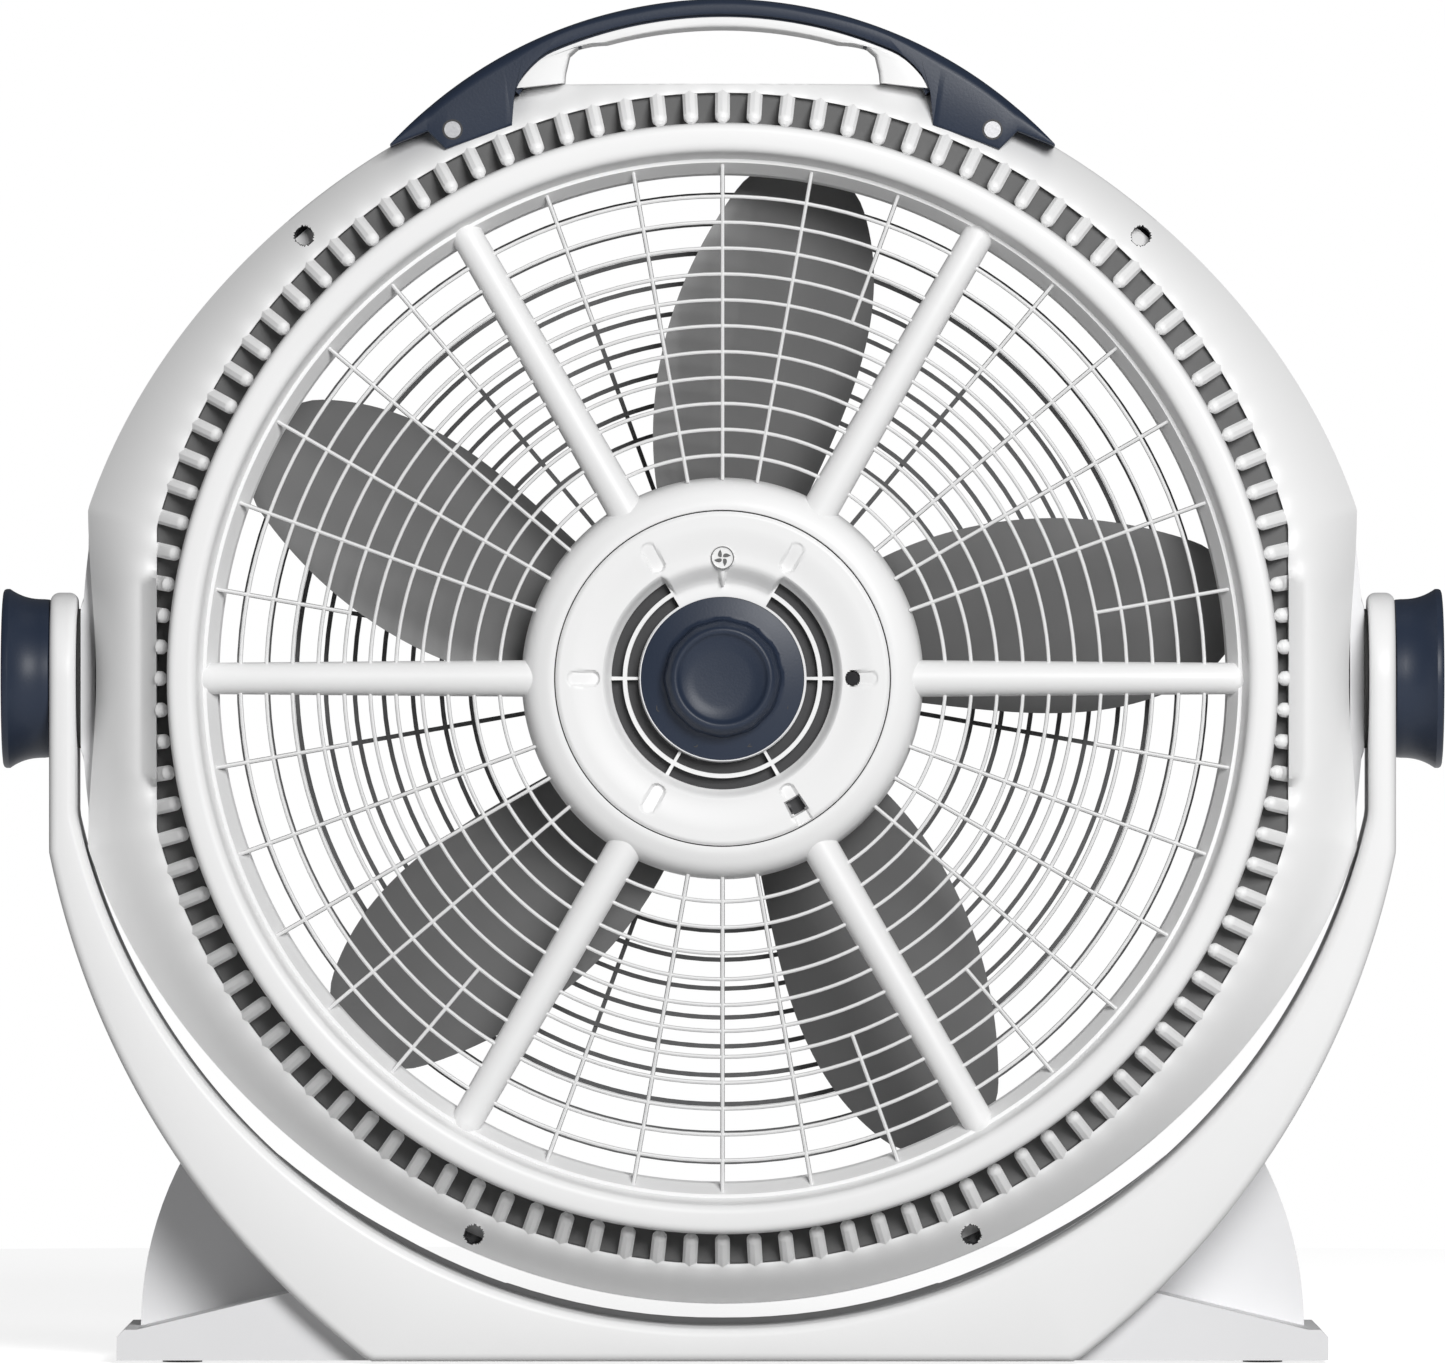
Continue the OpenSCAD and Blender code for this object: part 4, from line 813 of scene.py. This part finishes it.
class FAN_OT_rear_housing(bpy.types.Operator):
    """Build the rear moulding: outer skin with its side bosses, back face and tunnel"""
    bl_idname = "floor_fan.rear_housing"
    bl_label = "Rear Housing"

    def execute(self, context):
        s = context.scene.fan_head
        ring, flat, top = s.ring_radius * 1000, s.side_flat * 1000, s.top_flat * 1000
        tunnel, boss_x, inner_seat = s.throat * 1000 + 5.7, 257.7, top - 2.5
        a = np.linspace(0, 360, 720, endpoint=False)[:, None]
        sin, cos = np.abs(np.sin(np.radians(a))), np.cos(np.radians(a))
        # outer skin from front to back: how far it has drawn in from the rim, and its z
        outer = np.array([(0, 9.85), (0, 6), (0, 0), (0, -5), (0.8, -9), (-4 + 5.8, -14), (5.0, -22),
                          (9.3, -32), (15.5, -42), (20.5, -49), (24.5, -53.2), (28.0, -56.0), (31.5, -57.6),
                          (34.5, -58.0)])
        inset, z = outer[None, :, 0], outer[None, :, 1]
        rim = rim_outline(ring, flat, sin)
        r = rim + (ring - rim) * ease(inset / 26) - inset
        x, y = r * sin, r * cos
        # boss at the pivot: the side bows out to the friction disc, level round the axis
        dome = (1 - np.clip(np.abs(y) / 52, 0, 1) ** 2) * ease(1.9 - np.abs(z + 2) / 24) * (sin > SIDE_SINE)
        disc = ease((1 - (y / 36) ** 2 - (z / 34) ** 2) * 3) * (sin > SIDE_SINE)
        x = x + (boss_x - x) * np.maximum(dome, disc)
        sign = np.sign(np.sin(np.radians(a)) + 1e-12)
        skin = face(sign * x, seated(x, y, top), z + 0 * a)

        def band(radius, depth):
            # one ring of points at a radius and a depth, cut by the seat
            x = (radius + 0 * a) * np.sin(np.radians(a))
            return face(x, seated(x, (radius + 0 * a) * cos, inner_seat), depth)

        inner = np.concatenate([
            band(tunnel - 1.0, -58.0), band(tunnel - 1.5, -57.4), band(tunnel - 1.5, -54), band(tunnel, -54),
            band(tunnel, -20), band(tunnel, 31.4), band(tunnel + 2.5, 31.4), band(tunnel + 2.5, -54.5),
            band(ring - 33, -55.5), band(ring - 12, -33), band(rim - 2.6, -6), band(rim - 2.5, 9.85),
        ], axis=1)
        piece("rear_housing_moulding", [loft(np.concatenate([skin, inner], axis=1))], ["rear_plastic"],
              "head", ["rear_housing"], crease=32)
        return {"FINISHED"}


# ---------------------------------------------------------------- handle

def arch_point(x, radius, top):
    """Height of an arc of the given radius whose crown stands at top."""
    return top - radius + np.sqrt(radius ** 2 - x ** 2)


def cover_arch(x, top):
    """Underside of the handle's cover: an arc that falls to its foot as a quarter circle over 15 mm."""
    bend = np.clip((83.4 - np.abs(x)) / 15, 0, 1)
    return 233.8 + (arch_point(x, 171.2, top) - 233.8) * np.sqrt(1 - (1 - bend) ** 2)


class FAN_OT_handle(bpy.types.Operator):
    """Build the handle: dark cover, its inner lip and the pale grip round the finger opening"""
    bl_idname = "floor_fan.handle"
    bl_label = "Handle"

    def execute(self, context):
        crown, depth, mid = 272.0, 50.0, 13.5
        arch_top = crown - 6.3
        # cover: from the foot over the crown, drawn for one half and mirrored
        arch_x = np.linspace(83.4, 0, 26)
        arch = np.stack([arch_x, cover_arch(arch_x, arch_top)], 1)
        half, t = along(np.concatenate([[(133, 213), (118, 218.9), (110.8, 211.7), (84.2, 221.3)], arch]), 60)
        outer_x = 133 * (1 - t)
        over = np.stack([outer_x, arch_point(outer_x, 181.2, crown)], 1)
        shells = [between(both_halves(half), both_halves(over), depth / 2, mid, 1.2, 5.0)]
        # lip: a lower step inside the arch
        step_x = np.linspace(83.2, -83.2, 61)
        outer = np.stack([step_x, cover_arch(step_x, arch_top)], 1)
        middle = np.array([0, 150.0])
        inner = outer + (middle - outer) / np.linalg.norm(outer - middle, axis=1)[:, None] * 2.6
        shells.append(between(inner, outer + (outer - middle) * 0.01, depth / 2 - 3.5, mid, 1.0, 0.6))
        # painted shade: black rings in the gaps round the screws
        for x in (-108, 108):
            shells.append(turned_at(x, 219.6, [(4.1, 36), (4.1, 38.65), (3.35, 38.65), (3.35, 36)], look=1))
        piece("handle_cover_moulding", shells, ["navy_plastic", "black_plastic"], "head",
              ["handle_cover"], crease=34)
        # grip: from the cover's arch to the opening, and a sill under the opening
        corner = [(63.3, 238.4), (62.9, 243), (61.3, 249.8), (57.5, 253.2), (50, 254.6)]
        ox = np.linspace(50, 0, 14)[1:]
        hole, t = along(np.concatenate([corner, np.stack([ox, arch_point(ox, 177.8, crown - 11.3)], 1)]), 36)
        x = np.interp(t, [0, 0.22, 1], [82.6, 74, 0])
        rim = np.stack([x, np.maximum(cover_arch(x, arch_top) - 1.0, 233.4)], 1)
        grip = between(both_halves(hole), both_halves(rim), depth / 2 - 1, mid, 1.8, 0.5)
        piece("handle_grip_moulding", [grip], ["white_plastic"], "head", ["handle_grip"],
              crease=34)
        return {"FINISHED"}


# ---------------------------------------------------------------- stand

# distance from the middle to an arm's inner face, and height of the yoke's foot above the floor
ARM_IN_X, FOOT_Z = 259.1, 1


class FAN_OT_yoke(bpy.types.Operator):
    """Build the U-shaped front of the stand with round arm tops and soft edges"""
    bl_idname = "floor_fan.yoke"
    bl_label = "Yoke"

    def execute(self, context):
        s = context.scene.fan_stand
        half, edge, thick = s.arm_depth * 500, s.edge_radius * 1000, s.arm_thickness * 1000
        in_x, out_x = ARM_IN_X, ARM_IN_X + thick
        base = FOOT_Z - PIVOT[2]
        # arms: level sections whose depth follows the round top
        lift = half * np.sin(np.linspace(np.pi / 2, 0, 34))[:-1]
        draw_in = 3.4 * (1 - np.sqrt(1 - np.clip((lift - half + 3.4) / 3.4, 0, 1) ** 2))
        # bow: rays from the pivot's centre meet the inner and the outer outline
        a = np.radians(np.linspace(90, 180, 150))
        sin, cos = np.sin(a), np.cos(a)
        sideways, down = np.maximum(sin, 1e-3), np.minimum(cos, -1e-3)

        def ray_circle(cx, cy, radius):
            # distance along each ray to a circle round cx, cy
            b = cx * sin + cy * cos
            return b + np.sqrt(b ** 2 - cx ** 2 - cy ** 2 + radius ** 2)

        r_in = np.minimum(ray_circle(2.6, 2.3, 262.6), in_x / sideways)
        r_out = np.minimum(np.minimum(ray_circle(-63.6, -2.3, 340), out_x / sideways), base / down)
        inner = both_halves(np.concatenate([np.stack([in_x + draw_in, lift], 1),
                                            np.stack([r_in * sin, r_in * cos], 1)]))
        outer = both_halves(np.concatenate([np.stack([out_x - draw_in, lift], 1),
                                            np.stack([r_out * sin, r_out * cos], 1)]))
        deep = np.sqrt(np.clip(half ** 2 - np.maximum(inner[:, 1], 0) ** 2, 0.01, None))[:, None]
        gap = np.linalg.norm(outer - inner, axis=1)[:, None]
        soft = np.minimum(np.minimum(edge, gap * 0.45), deep * 0.9)
        piece("yoke_moulding", [between(inner, outer, deep, 0, soft, soft)], ["white_plastic"], "stand",
              ["yoke"], crease=36)
        return {"FINISHED"}


class FAN_OT_side_knobs(bpy.types.Operator):
    """Build the two flared clamp knobs"""
    bl_idname = "floor_fan.side_knobs"
    bl_label = "Side Knobs"

    def execute(self, context):
        s = context.scene.fan_stand
        radius = s.knob_radius * 1000
        neck = radius - 4.3
        x0 = ARM_IN_X + s.arm_thickness * 1000 + 1.2
        x1 = x0 + 18.6
        t = np.linspace(0, 1, 14)
        flare = neck + 0.2 + (radius - neck - 0.2) * t ** 2.4
        # from the arm outwards: foot with a recess for the washer, flare, soft rim and dished end
        profile = np.concatenate([
            [(x0, 0.01), (x0, neck - 3.6), (x0 - 0.9, neck - 3.5), (x0 - 0.9, neck - 0.4), (x0 - 0.6, neck)],
            np.stack([x0 + 1.6 + (x1 - 3.2 - x0 - 1.6) * t, flare], 1),
            [(x1 - 1.8, radius), (x1 - 1.0, radius - 0.35), (x1 - 0.6, radius - 1.2),
             (x1 - 0.45, radius - 2.6), (x1 - 0.5, radius - 6), (x1 - 0.35, radius - 12), (x1 - 0.1, 12),
             (x1, 5), (x1, 0.01)]])
        for name, side in (("left", -1), ("right", 1)):
            piece(name + "_knob_moulding", [side_turned(profile, side, 128)], ["navy_plastic"],
                  name + "_clamp", [name + "_knob"], crease=34)
        return {"FINISHED"}


class FAN_OT_frame_finishes(bpy.types.Operator):
    """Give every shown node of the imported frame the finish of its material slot"""
    bl_idname = "floor_fan.frame_finishes"
    bl_label = "Frame Finishes"

    def execute(self, context):
        slots = {part["node"]: part["material_slot"] for part in frame["record"]["subparts"]}
        for name, node in frame["nodes"].items():
            for k in range(len(node.material_slots)):
                node.material_slots[k].material = material(slots[name])
        return {"FINISHED"}


# ---------------------------------------------------------------- stage

class FAN_OT_stage(bpy.types.Operator):
    """Build the pale floor, the soft studio lights and the camera"""
    bl_idname = "floor_fan.stage"
    bl_label = "Studio Stage"

    def execute(self, context):
        scene = context.scene
        # floor: a wide disc of rings whose spacing grows outwards, a hair below the feet
        r = 1.6 * np.linspace(0, 1, 12)[None, :] ** 1.5
        a = np.radians(np.linspace(0, 360, 96, endpoint=False))[:, None]
        grid = np.stack(np.broadcast_arrays(r * np.sin(a), r * np.cos(a), 0 * r * a - 0.0002), -1)
        verts, quads, _, _ = loft(grid, loop=False)
        mesh = bpy.data.meshes.new("studio_floor")
        mesh.from_pydata(verts, [], quads.tolist())
        mesh.validate()
        floor = bpy.data.objects.new("studio_floor", mesh)
        scene.collection.objects.link(floor)
        pale = bpy.data.materials.new("studio_floor")
        pale.use_nodes = True
        shader = pale.node_tree.nodes["Principled BSDF"]
        shader.inputs["Base Color"].default_value = (0.93, 0.93, 0.93, 1)
        shader.inputs["Roughness"].default_value = 0.9
        shader.inputs["Emission Color"].default_value = (1, 1, 1, 1)
        shader.inputs["Emission Strength"].default_value = 0.72
        mesh.materials.append(pale)
        # the pale floor shows, but throws no light up under the object
        floor.visible_diffuse = False

        world = bpy.data.worlds.new("studio")
        scene.world = world
        world.use_nodes = True
        nodes, link = world.node_tree.nodes, world.node_tree.links.new
        # the backdrop shows white, and lights the object more softly than it looks
        path, glow = nodes.new("ShaderNodeLightPath"), nodes.new("ShaderNodeMapRange")
        glow.inputs["To Min"].default_value = 0.14
        glow.inputs["To Max"].default_value = 1.0
        link(path.outputs["Is Camera Ray"], glow.inputs["Value"])
        nodes["Background"].inputs["Color"].default_value = (1, 1, 1, 1)
        link(glow.outputs["Result"], nodes["Background"].inputs["Strength"])

        middle = Vector((0, PIVOT[1] / 1000, PIVOT[2] / 1000))
        # lights: name, place and size in metres, power in watts
        for name, place, size, power in (("key", (0.95, -3.3, 1.45), 1.3, 116),
                                         ("fill", (-2.4, -2.0, 0.3), 1.6, 6),
                                         ("top", (0.4, 0.2, 2.6), 1.0, 2)):
            lamp = bpy.data.lights.new(name, "AREA")
            lamp.size, lamp.energy = size, power
            lit = bpy.data.objects.new(name, lamp)
            lit.location = place
            lit.rotation_euler = (middle - Vector(place)).to_track_quat("-Z", "Y").to_euler()
            scene.collection.objects.link(lit)

        lens = bpy.data.cameras.new("camera")
        # camera: level with the pivot, 8 m away, its view 0.5809 m wide at the pivot
        reach, width = 8.0, 0.5809
        lens.sensor_width = 36
        lens.lens = 36 * reach / width
        lens.clip_end = 40
        lens.shift_y = -0.0028
        view = bpy.data.objects.new("camera", lens)
        view.location = (0, middle.y - reach, middle.z)
        view.rotation_euler = (np.pi / 2, 0, 0)
        scene.collection.objects.link(view)
        scene.camera = view
        scene.view_settings.view_transform = "Standard"
        return {"FINISHED"}


# ---------------------------------------------------------------- panel and registration

PIECES = (FAN_OT_front_shroud, FAN_OT_front_guard, FAN_OT_hub_panel, FAN_OT_speed_knob,
          FAN_OT_fan_blade, FAN_OT_rear_housing, FAN_OT_handle, FAN_OT_yoke, FAN_OT_side_knobs,
          FAN_OT_frame_finishes, FAN_OT_stage)


class FAN_PT_panel(bpy.types.Panel):
    """Lists the fan's sizes, colours and pieces"""
    bl_label = "Floor Fan"
    bl_idname = "FAN_PT_panel"
    bl_space_type = "VIEW_3D"
    bl_region_type = "UI"
    bl_category = "Floor Fan"

    def draw(self, context):
        scene = context.scene
        for group in (scene.fan_head, scene.fan_rotor, scene.fan_stand, scene.fan_finish):
            box = self.layout.box()
            for name in group.__annotations__:
                box.prop(group, name)
        for operator in PIECES:
            self.layout.operator(operator.bl_idname)


GROUPS = (FanHeadSizes, FanRotorSizes, FanStandSizes, FanFinish)


def register():
    for cls in (*GROUPS, *PIECES, FAN_PT_panel):
        bpy.utils.register_class(cls)
    bpy.types.Scene.fan_head = PointerProperty(type=FanHeadSizes)
    bpy.types.Scene.fan_rotor = PointerProperty(type=FanRotorSizes)
    bpy.types.Scene.fan_stand = PointerProperty(type=FanStandSizes)
    bpy.types.Scene.fan_finish = PointerProperty(type=FanFinish)


def unregister():
    for name in ("fan_head", "fan_rotor", "fan_stand", "fan_finish"):
        delattr(bpy.types.Scene, name)
    for cls in reversed((*GROUPS, *PIECES, FAN_PT_panel)):
        bpy.utils.unregister_class(cls)


def main():
    register()
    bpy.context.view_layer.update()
    bpy.ops.floor_fan.front_shroud()
    bpy.ops.floor_fan.front_guard()
    bpy.ops.floor_fan.hub_panel()
    bpy.ops.floor_fan.speed_knob()
    bpy.ops.floor_fan.fan_blade()
    bpy.ops.floor_fan.rear_housing()
    bpy.ops.floor_fan.handle()
    bpy.ops.floor_fan.yoke()
    bpy.ops.floor_fan.side_knobs()
    bpy.ops.floor_fan.frame_finishes()
    bpy.ops.floor_fan.stage()
    bpy.context.view_layer.update()


if __name__ == "__main__":
    main()
